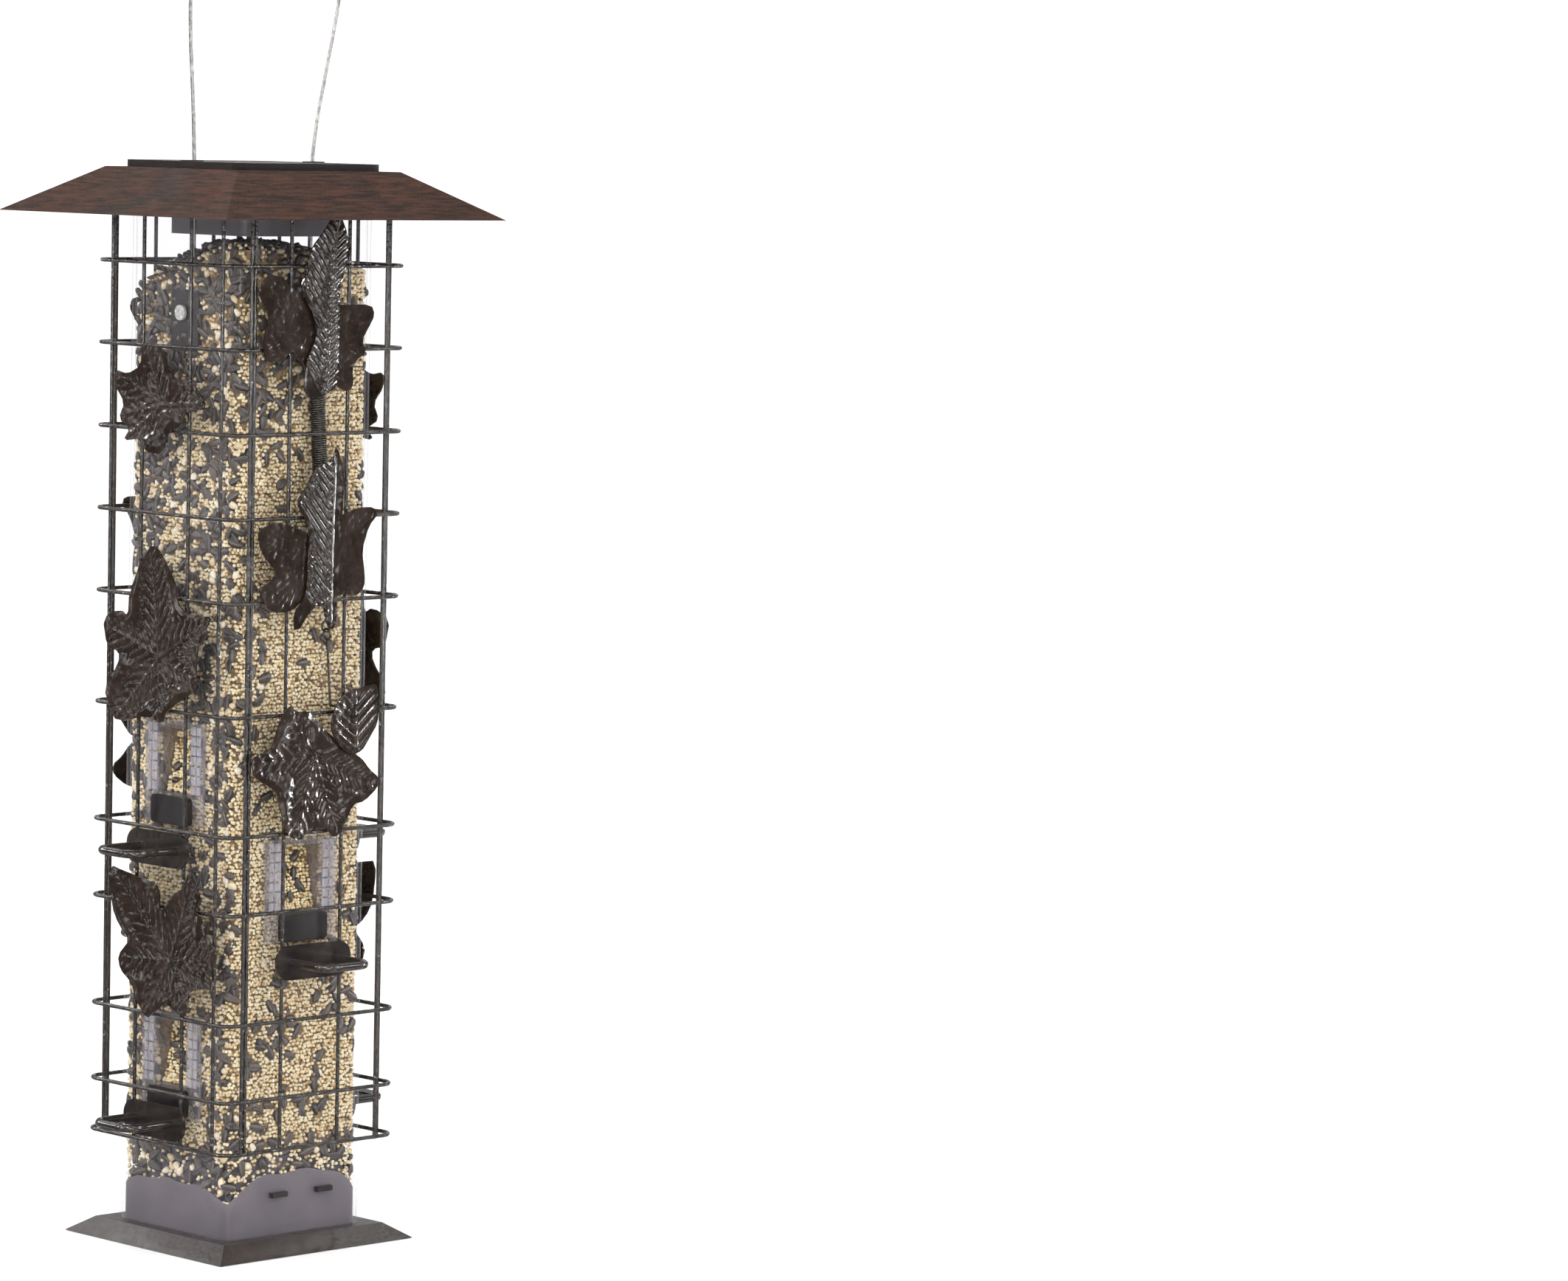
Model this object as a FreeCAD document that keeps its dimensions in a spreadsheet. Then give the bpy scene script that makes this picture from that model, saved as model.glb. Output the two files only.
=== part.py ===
"""Hanging tube bird feeder with a sprung wire cage, as a FreeCAD document.

Frame: +Z up, millimetres, origin at the middle of the base's underside.
The "front" face looks towards -Y, "left" towards -X, "back" +Y and "right" +X.
A side piece is drawn on the front face and turned about Z to the face that it sits on.
"""
import FreeCAD
import Part
import Sketcher
import math
import os

Vector = FreeCAD.Vector
Rotation = FreeCAD.Rotation
Placement = FreeCAD.Placement

doc = FreeCAD.newDocument("bird_feeder")

# ---------------------------------------------------------------- driving dimensions
DIMENSIONS = [
    # base: a skirt of folded sheet, closed underneath by a plate
    ("base_side", 141.0),
    ("base_top_side", 116.0),
    ("base_height", 8.4),
    ("base_sheet", 1.2),
    ("base_wall_run", 1.9),
    ("base_hem", 10.0),
    ("base_plate_side", 126.0),
    ("base_plate_floor", 1.25),
    ("base_screw_offset", 34.0),
    ("base_screw_radius", 1.5),
    ("base_screw_head", 3.2),
    # clear square tube
    ("tube_side", 100.0),
    ("tube_wall", 2.0),
    ("tube_radius", 8.0),
    ("tube_floor", 8.45),
    ("tube_top", 585.0),
    # cup in the foot of the tube, and the latch tabs that hold the tube on it
    ("cup_side", 95.4),
    ("cup_wall", 2.0),
    ("cup_radius", 6.0),
    ("cup_height", 42.0),
    ("cup_corner_height", 18.0),
    ("cup_corner_notch", 15.0),
    ("cup_cone_side", 84.0),
    ("cup_cone_top", 6.0),
    ("cup_cone_height", 26.0),
    ("latch_height", 31.0),
    ("latch_shift", 4.6),
    ("latch_spacing", 33.0),
    ("latch_width", 11.0),
    ("latch_tall", 3.0),
    ("latch_clearance", 0.2),
    # feeding ports: each height is the sill's top edge, where the opening starts
    ("port_front", 191.5),
    ("port_upper", 256.0),
    ("port_lower", 90.0),
    ("port_width", 52.0),
    ("port_below", 16.5),
    ("port_above", 42.0),
    ("port_flange", 1.2),
    ("port_window_edge", 2.0),
    ("port_clearance", 0.2),
    ("port_opening_width", 27.0),
    ("port_opening_tall", 37.0),
    ("port_tunnel_wall", 1.5),
    ("port_tunnel_depth", 12.0),
    ("sill_width", 33.0),
    ("sill_tall", 16.0),
    ("sill_depth", 3.5),
    ("sill_radius", 3.0),
    # seed
    ("seed_side", 94.6),
    ("seed_foot", 52.0),
    ("seed_top", 552.0),
    ("seed_heap_side", 30.0),
    ("seed_heap_height", 17.0),
    # cage of welded wire round the tube
    ("cage_side", 125.4),
    ("cage_radius", 10.0),
    ("ring_wire", 1.15),
    ("upright_wire", 1.1),
    ("upright_plane", 60.4),
    ("upright_inner", 21.0),
    ("upright_outer", 49.0),
    ("upright_seam", 2.4),
    ("upright_foot", 58.0),
    ("upright_top", 598.0),
    # perches on the cage
    ("perch_front", 165.0),
    ("perch_upper", 226.6),
    ("perch_lower", 72.0),
    ("perch_plate_width", 54.0),
    ("perch_plate_tall", 19.6),
    ("perch_plate_radius", 9.0),
    ("perch_plate_back", 61.55),
    ("perch_plate_thick", 1.8),
    ("perch_bar_width", 37.0),
    ("perch_bar_radius", 2.4),
    ("perch_bar_bend", 9.0),
    ("perch_reach", 96.0),
    # leaf and butterfly plates in front of the cage
    ("leaf_plane", 63.9),
    ("leaf_thick", 0.9),
    ("leaf_layer", 1.0),
    # hanging cable, its brackets and rivets
    ("cable_radius", 1.1),
    ("cable_half_width", 42.0),
    ("cable_foot", 534.0),
    ("rivet_height", 527.5),
    ("rivet_radius", 1.6),
    ("rivet_head", 4.3),
    ("rivet_head_thick", 1.6),
    ("bracket_width", 24.0),
    ("bracket_thick", 2.6),
    ("bracket_foot", 506.0),
    ("bracket_top", 540.0),
    ("ferrule_radius", 3.2),
    ("ferrule_length", 20.0),
    # cage springs in the gap between tube and cage
    ("spring_plane", 54.7),
    ("spring_lean", 4.25),
    ("spring_top_drop", 22.0),
    ("spring_length", 144.0),
    ("spring_radius", 4.3),
    ("spring_wall", 0.7),
    ("spring_wire", 0.6),
    ("spring_eye", 3.2),
    ("spring_hook_gap", 6.0),
    ("link_radius", 0.7),
    ("link_eye", 3.0),
    ("link_foot", 307.1),
    # roof
    ("roof_side", 203.0),
    ("roof_top_side", 118.0),
    ("roof_eave", 582.0),
    ("roof_height", 26.0),
    ("roof_sheet", 1.2),
    ("roof_wall_run", 2.3),
    ("roof_cap_side", 105.0),
    ("roof_cap_radius", 8.0),
    ("roof_cap_height", 4.0),
    ("collar_side", 68.0),
    ("collar_wall", 2.0),
    ("collar_foot", 571.0),
    ("collar_flange_side", 104.0),
    ("collar_flange_foot", 585.3),
    ("collar_flange_thick", 2.0),
    ("slot_centre", 44.1),
    ("slot_length", 11.0),
    ("slot_width", 4.6),
    ("grommet_wall", 1.0),
    ("grommet_lip", 1.2),
    ("grommet_lip_thick", 0.6),
    ("grommet_clearance", 0.1),
]

# heights of the ring wires, from the cage's foot to its top
RING_HEIGHTS = [59.7, 89.0, 132.4, 194.2, 238.1, 305.0, 368.4, 415.2, 461.9, 508.9, 555.3, 596.0]

# turn about Z that carries a piece from the front face to each face
FACE_TURN = {"front": 0.0, "left": -90.0, "back": 180.0, "right": 90.0}

# port and perch name: face, cell with the port's height, cell with the perch's height
PORTS = {
    "front": ("front", "port_front", "perch_front"),
    "back": ("back", "port_front", "perch_front"),
    "left_upper": ("left", "port_upper", "perch_upper"),
    "left_lower": ("left", "port_lower", "perch_lower"),
    "right_upper": ("right", "port_upper", "perch_upper"),
    "right_lower": ("right", "port_lower", "perch_lower"),
}

# plates on the cage: faces, layer, middle across the face, middle height, width, height
PLATES = {
    "small_leaf": (("left", "right"), 0, 4.5, 479.0, 84.0, 61.0),
    "maple_leaf": (("left", "right"), 0, 3.0, 347.5, 98.0, 104.0),
    "broad_leaf": (("left", "right"), 0, 13.0, 174.0, 98.0, 88.0),
    "butterfly_upper": (("front", "back"), 0, -6.5, 518.5, 84.0, 67.0),
    "feather_leaf_upper": (("front",), 1, -4.0, 535.0, 34.0, 106.0),
    "butterfly_lower": (("front", "back"), 0, -4.0, 391.5, 86.0, 57.0),
    "feather_leaf_lower": (("front", "back"), 1, -5.0, 403.0, 35.0, 105.0),
    "vine_leaf": (("front", "back"), 0, -3.5, 272.5, 93.0, 78.0),
    "oval_leaf": (("front", "back"), 1, 24.0, 300.5, 35.0, 40.0),
}

# tips and notches of each plate, clockwise from its top, in millimetres from its middle
OUTLINES = {
    "small_leaf": [
        (-18, 30), (2, 29), (5, 13), (27, 11), (42, -3), (19, -5), (16, -13), (4, -17),
        (0, -30), (-14, -29), (-19, -22), (-34, -24), (-29, -17), (-39, -12), (-34, -3),
        (-42, 6), (-42, 15), (-31, 13), (-20, 18),
    ],
    "maple_leaf": [
        (-4, 52), (6, 41), (14, 31), (16, 19), (23, 14), (35, 13), (49, 14), (44, 7), (38, 3),
        (35, -4), (34, -18), (37, -27), (8, -42), (5, -50), (-8, -46), (-34, -52), (-41, -44),
        (-46, -34), (-35, -19), (-35, -12), (-45, -10), (-49, 6), (-35, 12), (-28, 8),
        (-27, 22), (-21, 31), (-15, 40),
    ],
    "broad_leaf": [
        (-50, 40), (-37, 38), (-17, 34), (-8, 32), (-7, 16), (4, 28), (16, 34), (21, 44),
        (32, 30), (24, 22), (32, 18), (30, 9), (39, 7), (45, -2), (42, -9), (31, -12),
        (48, -18), (21, -23), (20, -32), (17, -40), (-1, -33), (-11, -40), (-16, -44),
        (-26, -35), (-31, -25), (-41, -19), (-43, -11), (-33, -1), (-43, 6), (-49, 16),
    ],
    "butterfly_upper": [
        (19, 15), (39, 15), (42, 9), (37, 1), (33, -5), (36, -12), (28, -17), (26, -22),
        (27, -30), (23, -34), (15, -31), (6, -24), (-4, -24), (-16, -9), (-24, -16),
        (-32, -17), (-37, -14), (-38, -7), (-37, 1), (-34, 7), (-36, 13), (-42, 21), (-39, 29),
        (-32, 33), (-14, 22), (1, 14),
    ],
    "feather_leaf_upper": [
        (10, 53), (17, 37), (17, 26), (15, 17), (12, 8), (12, -16), (12, -46), (-1, -53),
        (-13, -52), (-13, -35), (-3, -19), (-5, -9), (-13, 4), (-17, 12), (-10, 17), (-12, 22),
        (-8, 31), (1, 41), (7, 49),
    ],
    "butterfly_lower": [
        (4, 8), (17, 24), (29, 28), (41, 28), (43, 23), (38, 18), (33, 4), (35, -9), (35, -17),
        (29, -22), (18, -20), (4, -25), (-8, -22), (-19, -29), (-32, -29), (-39, -21),
        (-42, -15), (-34, -12), (-28, -7), (-33, -2), (-40, 5), (-43, 17), (-31, 22),
        (-14, 18),
    ],
    "feather_leaf_lower": [
        (12, 52), (17, 36), (17, 25), (14, -29), (12, -50), (7, -50), (4, -36), (-3, -37),
        (-17, -52), (-18, -40), (-8, -31), (-7, -8), (-6, 3), (-10, 13), (-17, 21), (-10, 29),
        (-3, 40), (9, 44),
    ],
    "vine_leaf": [
        (-21, 39), (-13, 34), (-7, 35), (2, 28), (11, 20), (26, 10), (34, 5), (39, -1),
        (46, -6), (45, -12), (35, -19), (27, -20), (21, -32), (14, -39), (8, -32), (-3, -31),
        (-11, -39), (-21, -34), (-24, -20), (-28, -9), (-44, -1), (-46, 6), (-45, 11),
        (-32, 14), (-28, 25),
    ],
    "oval_leaf": [
        (16, 20), (18, 8), (17, -3), (11, -12), (6, -18), (-2, -20), (-9, -16), (-16, -7),
        (-17, -1), (-13, 11), (-3, 17), (7, 18),
    ],
}

# route of the hanging cable in the XZ plane, from the left bracket over the loop to the right one
CABLE_ROUTE = [
    (-42.0, 534.0),
    (-41.8, 585.0),
    (-43.2, 640.0),
    (-47.2, 692.0),
    (-45.0, 737.0),
    (-22.0, 768.0),
    (18.0, 774.0),
    (52.0, 755.0),
    (64.5, 717.0),
    (54.3, 672.0),
    (43.3, 624.0),
    (42.1, 580.0),
    (42.0, 534.0),
]

sheet = doc.addObject("Spreadsheet::Sheet", "Dims")
cells = list(DIMENSIONS)
cells += [("ring_%d" % (index + 1), height) for index, height in enumerate(RING_HEIGHTS)]
for plate_name, (_, _, across, height, plate_width, plate_tall) in PLATES.items():
    cells.append((plate_name + "_across", across))
    cells.append((plate_name + "_up", height))
    cells.append((plate_name + "_wide", plate_width))
    cells.append((plate_name + "_tall", plate_tall))
for row, (alias, value) in enumerate(cells, start=1):
    sheet.set("A%d" % row, alias)
    sheet.set("B%d" % row, repr(value))
    sheet.setAlias("B%d" % row, alias)
doc.recompute()

nodes = []


def dim(alias):
    """The value of one cell."""
    return float(sheet.get(alias))


def expression(text):
    """Write every sheet alias in a formula as a reference to its cell."""
    words = ""
    result = ""
    for letter in text + " ":
        if letter.isalnum() or letter == "_":
            words += letter
            continue
        result += "Dims." + words if words in ALIASES else words
        result += letter
        words = ""
    return result.strip()


ALIASES = {alias for alias, _ in cells}


def bind(item, **formulas):
    """Tie properties of an object to formulas of the sheet."""
    for prop, text in formulas.items():
        item.setExpression(prop, expression(text))
    return item


def place(item, across="0", along="0", up="0", turn=0.0, axis=(0, 0, 1)):
    """Give an object a turn, and a position tied to the sheet."""
    item.Placement = Placement(Vector(0, 0, 0), Rotation(Vector(*axis), turn))
    for part, text in zip("xyz", (across, along, up)):
        if text != "0":
            item.setExpression("Placement.Base." + part, expression(text))
    return item


def as_node(item, label):
    """Name a finished sub-part."""
    item.Label = label
    nodes.append(item)
    return item


# ---------------------------------------------------------------- building blocks
def box(name, length, width, height, across="0", along="0", up="0"):
    """A box centred on (across, along), standing on up."""
    item = doc.addObject("Part::Box", name)
    bind(item, Length=length, Width=width, Height=height)
    return place(item, "(%s) - (%s) / 2" % (across, length), "(%s) - (%s) / 2" % (along, width), up)


def cylinder(name, radius, height, across="0", along="0", up="0", turn=0.0, axis=(0, 0, 1)):
    """A cylinder from its foot's centre."""
    item = doc.addObject("Part::Cylinder", name)
    bind(item, Radius=radius, Height=height)
    return place(item, across, along, up, turn, axis)


def outward_pin(name, radius, length, start, across="0", up="0"):
    """A cylinder that points out of the front face, from a distance to the axis."""
    return cylinder(name, radius, length, across, "-(%s)" % start, up, 90.0, (1, 0, 0))


def frustum(name, foot_side, top_side, height, up):
    """A square frustum on the axis."""
    item = doc.addObject("Part::Wedge", name)
    for prop, side in (("Xmin", foot_side), ("Zmin", foot_side), ("X2min", top_side), ("Z2min", top_side)):
        item.setExpression(prop, expression("-(%s) / 2" % side))
        item.setExpression(prop.replace("min", "max"), expression("(%s) / 2" % side))
    item.Ymin = 0.0
    bind(item, Ymax=height)
    return place(item, up=up, turn=90.0, axis=(1, 0, 0))


def fuse(name, *items):
    """One solid from several that touch."""
    item = doc.addObject("Part::MultiFuse", name)
    item.Shapes = list(items)
    return item


def cut(name, base, *tools):
    """A solid less one or more others."""
    item = doc.addObject("Part::Cut", name)
    item.Base = base
    item.Tool = tools[0] if len(tools) == 1 else fuse(name + "_tools", *tools)
    return item


def group(name, *items):
    """Several separate solids kept as one object."""
    item = doc.addObject("Part::Compound", name)
    item.Links = list(items)
    return item


def copy_at(name, master, up="0", turn=0.0):
    """The same piece again, turned about Z and raised."""
    return place(group(name, master), up=up, turn=turn)


def new_body(name):
    """An empty body and a way to find its origin planes."""
    body = doc.addObject("PartDesign::Body", name)
    planes = {plane.Role: plane for plane in body.Origin.OriginFeatures}
    return body, planes


def sketch_on(body, plane, name, offset="0"):
    """A sketch on one of a body's origin planes, moved along that plane's normal."""
    sketch = body.newObject("Sketcher::SketchObject", name)
    sketch.AttachmentSupport = [(plane, "")]
    sketch.MapMode = "FlatFace"
    if offset != "0":
        sketch.setExpression("AttachmentOffset.Base.z", expression(offset))
    return sketch


def pad(body, sketch, name, length):
    """Raise a sketch along its normal."""
    item = body.newObject("PartDesign::Pad", name)
    item.Profile = sketch
    item.setExpression("Length", expression(length))
    body.Tip = item
    return item


def rounded_rectangle(sketch, width, height, radius):
    """A rectangle with round corners about the sketch's origin; its three sizes are formulas."""
    half_x, half_y, bend = 20.0, 20.0, 5.0
    in_x, in_y = half_x - bend, half_y - bend
    first = sketch.GeometryCount
    corners = [(in_x, -in_y, -90), (in_x, in_y, 0), (-in_x, in_y, 90), (-in_x, -in_y, 180)]
    ends = []
    for centre_x, centre_y, start in corners:
        circle = Part.Circle(Vector(centre_x, centre_y, 0), Vector(0, 0, 1), bend)
        arc = Part.ArcOfCircle(circle, math.radians(start), math.radians(start + 90))
        ends.append((arc.StartPoint, arc.EndPoint))
        sketch.addGeometry(arc, False)
    for index in range(4):
        sketch.addGeometry(Part.LineSegment(ends[index - 1][1], ends[index][0]), False)
    for index in range(4):
        line = first + 4 + index
        sketch.addConstraint(Sketcher.Constraint("Tangent", first + (index - 1) % 4, 2, line, 1))
        sketch.addConstraint(Sketcher.Constraint("Tangent", line, 2, first + index, 1))
        direction = "Horizontal" if index % 2 == 0 else "Vertical"
        sketch.addConstraint(Sketcher.Constraint(direction, line))
    for index in range(1, 4):
        sketch.addConstraint(Sketcher.Constraint("Equal", first, first + index))
    sketch.addConstraint(Sketcher.Constraint("Symmetric", first, 3, first + 2, 3, -1, 1))
    sizes = [
        (Sketcher.Constraint("Radius", first, bend), radius),
        (Sketcher.Constraint("DistanceX", first + 7, 1, first + 5, 1, 2 * half_x), width),
        (Sketcher.Constraint("DistanceY", first + 4, 1, first + 6, 1, 2 * half_y), height),
    ]
    for constraint, text in sizes:
        index = sketch.addConstraint(constraint)
        sketch.setExpression("Constraints[%d]" % index, expression(text))


def rounded_prism(name, side, radius, height, up, wall=None):
    """An upright square prism with round corners; with a wall it is open at both ends."""
    body, planes = new_body(name)
    sketch = sketch_on(body, planes["XY_Plane"], name + "_outline")
    rounded_rectangle(sketch, side, side, radius)
    if wall:
        inner = "%s - 2 * (%s)" % (side, wall)
        rounded_rectangle(sketch, inner, inner, "%s - (%s)" % (radius, wall))
    pad(body, sketch, name + "_height", height)
    return place(body, up=up)


def stadium(name, length, width, height, up):
    """A prism with round ends, on the line of the cable's legs, at each side of the axis."""
    sides = []
    for sign in ("+", "-"):
        middle = "%s slot_centre" % ("" if sign == "+" else "-1 *")
        reach = "(%s - (%s)) / 2" % (length, width)
        sides.append(fuse(
            name + ("_right" if sign == "+" else "_left"),
            box(name + "_flat", "%s - (%s)" % (length, width), width, height, middle, "0", up),
            cylinder(name + "_near", "(%s) / 2" % width, height, "%s - %s" % (middle, reach), "0", up),
            cylinder(name + "_far", "(%s) / 2" % width, height, "%s + %s" % (middle, reach), "0", up),
        ))
    return sides


# ---------------------------------------------------------------- base
def build_base():
    skirt = frustum("skirt_outside", "base_side", "base_top_side", "base_height", "0")
    slope = "(base_side - base_top_side) / base_height"
    inner_top = "base_top_side - 2 * base_wall_run + base_sheet * %s" % slope
    hollow = frustum(
        "skirt_inside", "base_side - 2 * base_wall_run", inner_top, "base_height - base_sheet", "0")
    hem = box("hem_outside", "base_side - 2 * base_wall_run", "base_side - 2 * base_wall_run", "base_sheet")
    hem_hole = box("hem_inside", "base_side - 2 * base_hem", "base_side - 2 * base_hem", "base_sheet")
    shell = fuse("tray_shell", cut("skirt", skirt, hollow), cut("hem", hem, hem_hole))
    plate = box("plate_blank", "base_plate_side", "base_plate_side", "base_sheet", up="base_plate_floor")
    screws = []
    screw_holes = []
    for sign_x in (-1, 1):
        for sign_y in (-1, 1):
            spot = {"across": "%d * base_screw_offset" % sign_x, "along": "%d * base_screw_offset" % sign_y}
            head = cylinder(
                "screw_head", "base_screw_head", "base_plate_floor - 0.15", up="0.1", **spot)
            shank = cylinder(
                "screw_shank", "base_screw_radius", "base_height", up="base_plate_floor - 0.1", **spot)
            screws.append(fuse("screw", head, shank))
            screw_holes.append(cylinder("screw_hole", "base_screw_radius + 0.05", "base_height + 6", **spot))
    drilled = fuse("screw_holes", *screw_holes)
    as_node(cut("tray", shell, drilled), "base_tray")
    as_node(cut("bottom_plate", plate, drilled), "base_plate")
    as_node(group("screws", *screws), "base_screws")
    return drilled


# ---------------------------------------------------------------- tube and its foot
def build_cup(screw_holes):
    wall = rounded_prism("cup_wall_ring", "cup_side", "cup_radius", "cup_height", "tube_floor", "cup_wall")
    floor = rounded_prism("cup_floor", "cup_side", "cup_radius", "cup_wall", "tube_floor")
    cone_foot = "tube_floor + cup_wall"
    cone = frustum("cup_cone", "cup_cone_side", "cup_cone_top", "cup_cone_height", cone_foot)
    notches = []
    for sign_x in (-1, 1):
        for sign_y in (-1, 1):
            notches.append(box(
                "cup_notch", "2 * cup_corner_notch", "2 * cup_corner_notch", "cup_height",
                "%d * cup_side / 2" % sign_x, "%d * cup_side / 2" % sign_y, "tube_floor + cup_corner_height"))
    solid = fuse("cup_solid", cut("cup_wall_cut", wall, *notches), floor, cone)
    as_node(cut("cup", solid, screw_holes), "base_cup")


def build_latches():
    """Tabs of the cup that stand through slots of the tube, and the slots."""
    tabs = []
    slots = []
    for turn in (0.0, 180.0):
        for sign in (-1, 1):
            across = "latch_shift + %d * latch_spacing / 2" % sign
            along = "-(cup_side + tube_side) / 4 - 0.55"
            depth = "(tube_side - cup_side) / 2 + 1.0"
            low = "latch_height - latch_tall / 2"
            tab = box("latch_tab", "latch_width", depth, "latch_tall", across, along, low)
            slot = box(
                "latch_slot", "latch_width + 2 * latch_clearance", "%s + 2" % depth,
                "latch_tall + 2 * latch_clearance", across, along, "%s - latch_clearance" % low)
            tabs.append(copy_at("latch", tab, turn=turn))
            slots.append(copy_at("slot", slot, turn=turn))
    as_node(group("latches", *tabs), "base_latches")
    return slots


def build_tube(latch_slots):
    blank = rounded_prism(
        "tube_blank", "tube_side", "tube_radius", "tube_top - tube_floor", "tube_floor", "tube_wall")
    windows = []
    for cell, turn in (("port_front", 0.0), ("port_upper", 90.0), ("port_lower", 90.0)):
        window = box(
            "window", "port_width - 2 * port_window_edge", "tube_side + 10",
            "port_below + port_above - 2 * port_window_edge", up="port_window_edge - port_below")
        windows.append(copy_at("window_" + cell, window, cell, turn))
    holes = []
    for turn in (0.0, 90.0):
        hole = outward_pin(
            "rivet_hole", "rivet_radius + 0.1", "tube_side + 10", "-tube_side / 2 - 5", up="rivet_height")
        holes.append(copy_at("rivet_hole_pair", hole, turn=turn))
    as_node(cut("tube", blank, *(windows + holes + latch_slots)), "seed_tube")


# ---------------------------------------------------------------- feeding ports
def build_ports():
    """One flexible insert and one metal sill, drawn with the sill's top edge at height 0."""
    tall = "port_below + port_above"
    outer = "tube_side / 2"
    flange = box(
        "flange", "port_width", "port_flange", tall,
        along="-%s - port_flange / 2" % outer, up="-1 * port_below")
    neck_side = "port_window_edge + port_clearance"
    neck = box(
        "neck", "port_width - 2 * (%s)" % neck_side, "tube_wall", "%s - 2 * (%s)" % (tall, neck_side),
        along="-%s + tube_wall / 2" % outer, up="%s - port_below" % neck_side)
    tunnel = box(
        "tunnel", "port_opening_width + 2 * port_tunnel_wall", "port_tunnel_depth",
        "port_opening_tall + 2 * port_tunnel_wall",
        along="-%s + port_tunnel_depth / 2" % outer, up="1 - port_tunnel_wall")
    opening = box(
        "opening", "port_opening_width", "port_tunnel_depth + 20", "port_opening_tall",
        along="-%s" % outer, up="1")
    insert = cut("insert", fuse("insert_blank", flange, neck, tunnel), opening)

    body, planes = new_body("sill")
    face = sketch_on(body, planes["XZ_Plane"], "sill_outline", "tube_side / 2 + port_flange + 0.02")
    rounded_rectangle(face, "sill_width", "sill_tall", "sill_radius")
    pad(body, face, "sill_depth_pad", "sill_depth")
    place(body, up="-1 * sill_tall / 2 - 0.3")

    for name, (side, cell, _) in PORTS.items():
        as_node(copy_at("insert_" + name, insert, cell, FACE_TURN[side]), "port_insert_" + name)
        as_node(copy_at("sill_" + name, body, cell, FACE_TURN[side]), "port_sill_" + name)


def build_seed():
    """The seed that fills the tube, clear of the cup, the ports' tunnels and the brackets."""
    column = rounded_prism("seed_column", "seed_side", "cup_radius", "seed_top - seed_foot", "seed_foot")
    heap = frustum("seed_heap", "seed_side - 12", "seed_heap_side", "seed_heap_height", "seed_top")
    foot_side = "cup_side - 2 * cup_wall - 0.6"
    foot_low = "tube_floor + cup_wall + 0.2"
    foot = rounded_prism("seed_foot_block", foot_side, "cup_radius", "seed_foot - (%s)" % foot_low, foot_low)
    spaces = [frustum(
        "seed_cone_space", "cup_cone_side + 2", "cup_cone_top + 2", "cup_cone_height + 1",
        "tube_floor + cup_wall")]
    for name, (side, cell, _) in PORTS.items():
        space = box(
            "port_space", "port_opening_width + 2 * port_tunnel_wall + 1", "port_tunnel_depth + 1",
            "port_opening_tall + 2 * port_tunnel_wall + 1",
            along="(port_tunnel_depth + 1 - tube_side) / 2", up="0.5 - port_tunnel_wall")
        spaces.append(copy_at("port_space_" + name, space, cell, FACE_TURN[side]))
    for side in FACE_TURN:
        space = box(
            "bracket_space", "bracket_width + 1", "16", "bracket_top - bracket_foot + 14",
            along="6 - tube_side / 2", up="bracket_foot - 1")
        spaces.append(copy_at("bracket_space_" + side, space, turn=FACE_TURN[side]))
    as_node(cut("seed", fuse("seed_blank", column, heap, foot), *spaces), "seed_fill")


# ---------------------------------------------------------------- hanging gear
def build_hangers():
    """Brackets inside the tube, their rivets, and the ferrules that hold the cable's ends."""
    inner = "tube_side / 2 - tube_wall - 0.05"
    rivets = []
    ferrules = []
    for side in ("left", "right"):
        plate = box(
            "bracket_plate", "bracket_width", "bracket_thick", "bracket_top - bracket_foot",
            along="bracket_thick / 2 - (%s)" % inner, up="bracket_foot")
        hole = outward_pin(
            "bracket_hole", "rivet_radius + 0.1", "20", "tube_side / 2 - 10", up="rivet_height")
        bracket = cut("bracket_" + side, plate, hole)
        as_node(copy_at("hanger_" + side, bracket, turn=FACE_TURN[side]), "hanger_bracket_" + side)
        head = outward_pin(
            "rivet_head_disc", "rivet_head", "rivet_head_thick", "tube_side / 2 + 0.02", up="rivet_height")
        shank = outward_pin(
            "rivet_shank", "rivet_radius", "tube_side / 2 + 0.1 - (%s) + bracket_thick" % inner,
            "%s - bracket_thick" % inner, up="rivet_height")
        rivets.append(copy_at("rivet_" + side, fuse("rivet_solid", head, shank), turn=FACE_TURN[side]))
        ferrule = cylinder(
            "ferrule", "ferrule_radius", "ferrule_length",
            "%d * cable_half_width" % (-1 if side == "left" else 1), "0",
            "cable_foot - ferrule_length - 0.05")
        ferrules.append(ferrule)
    as_node(group("rivets", *rivets), "bracket_rivets")
    as_node(group("ferrules", *ferrules), "cable_ferrules")


def round_route(points):
    """Straight runs joined by tangent arcs, each as large as its two runs allow."""
    corners = [Vector(across, 0, up) for across, up in points]
    edges = []
    start = corners[0]
    for before, corner, after in zip(corners, corners[1:], corners[2:]):
        incoming = corner - before
        outgoing = after - corner
        half_turn = incoming.getAngle(outgoing) / 2
        trim = 0.45 * min(incoming.Length, outgoing.Length)
        radius = trim / math.tan(half_turn)
        incoming.normalize()
        outgoing.normalize()
        arc_start = corner - incoming * trim
        arc_end = corner + outgoing * trim
        inward = outgoing - incoming
        inward.normalize()
        arc_middle = corner + inward * (radius / math.cos(half_turn) - radius)
        edges.append(Part.LineSegment(start, arc_start).toShape())
        edges.append(Part.Arc(arc_start, arc_middle, arc_end).toShape())
        print("cable bend radius %.0f mm, turn %.1f degrees" % (radius, math.degrees(2 * half_turn)))
        start = arc_end
    edges.append(Part.LineSegment(start, corners[-1]).toShape())
    return Part.Wire(edges)


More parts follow.
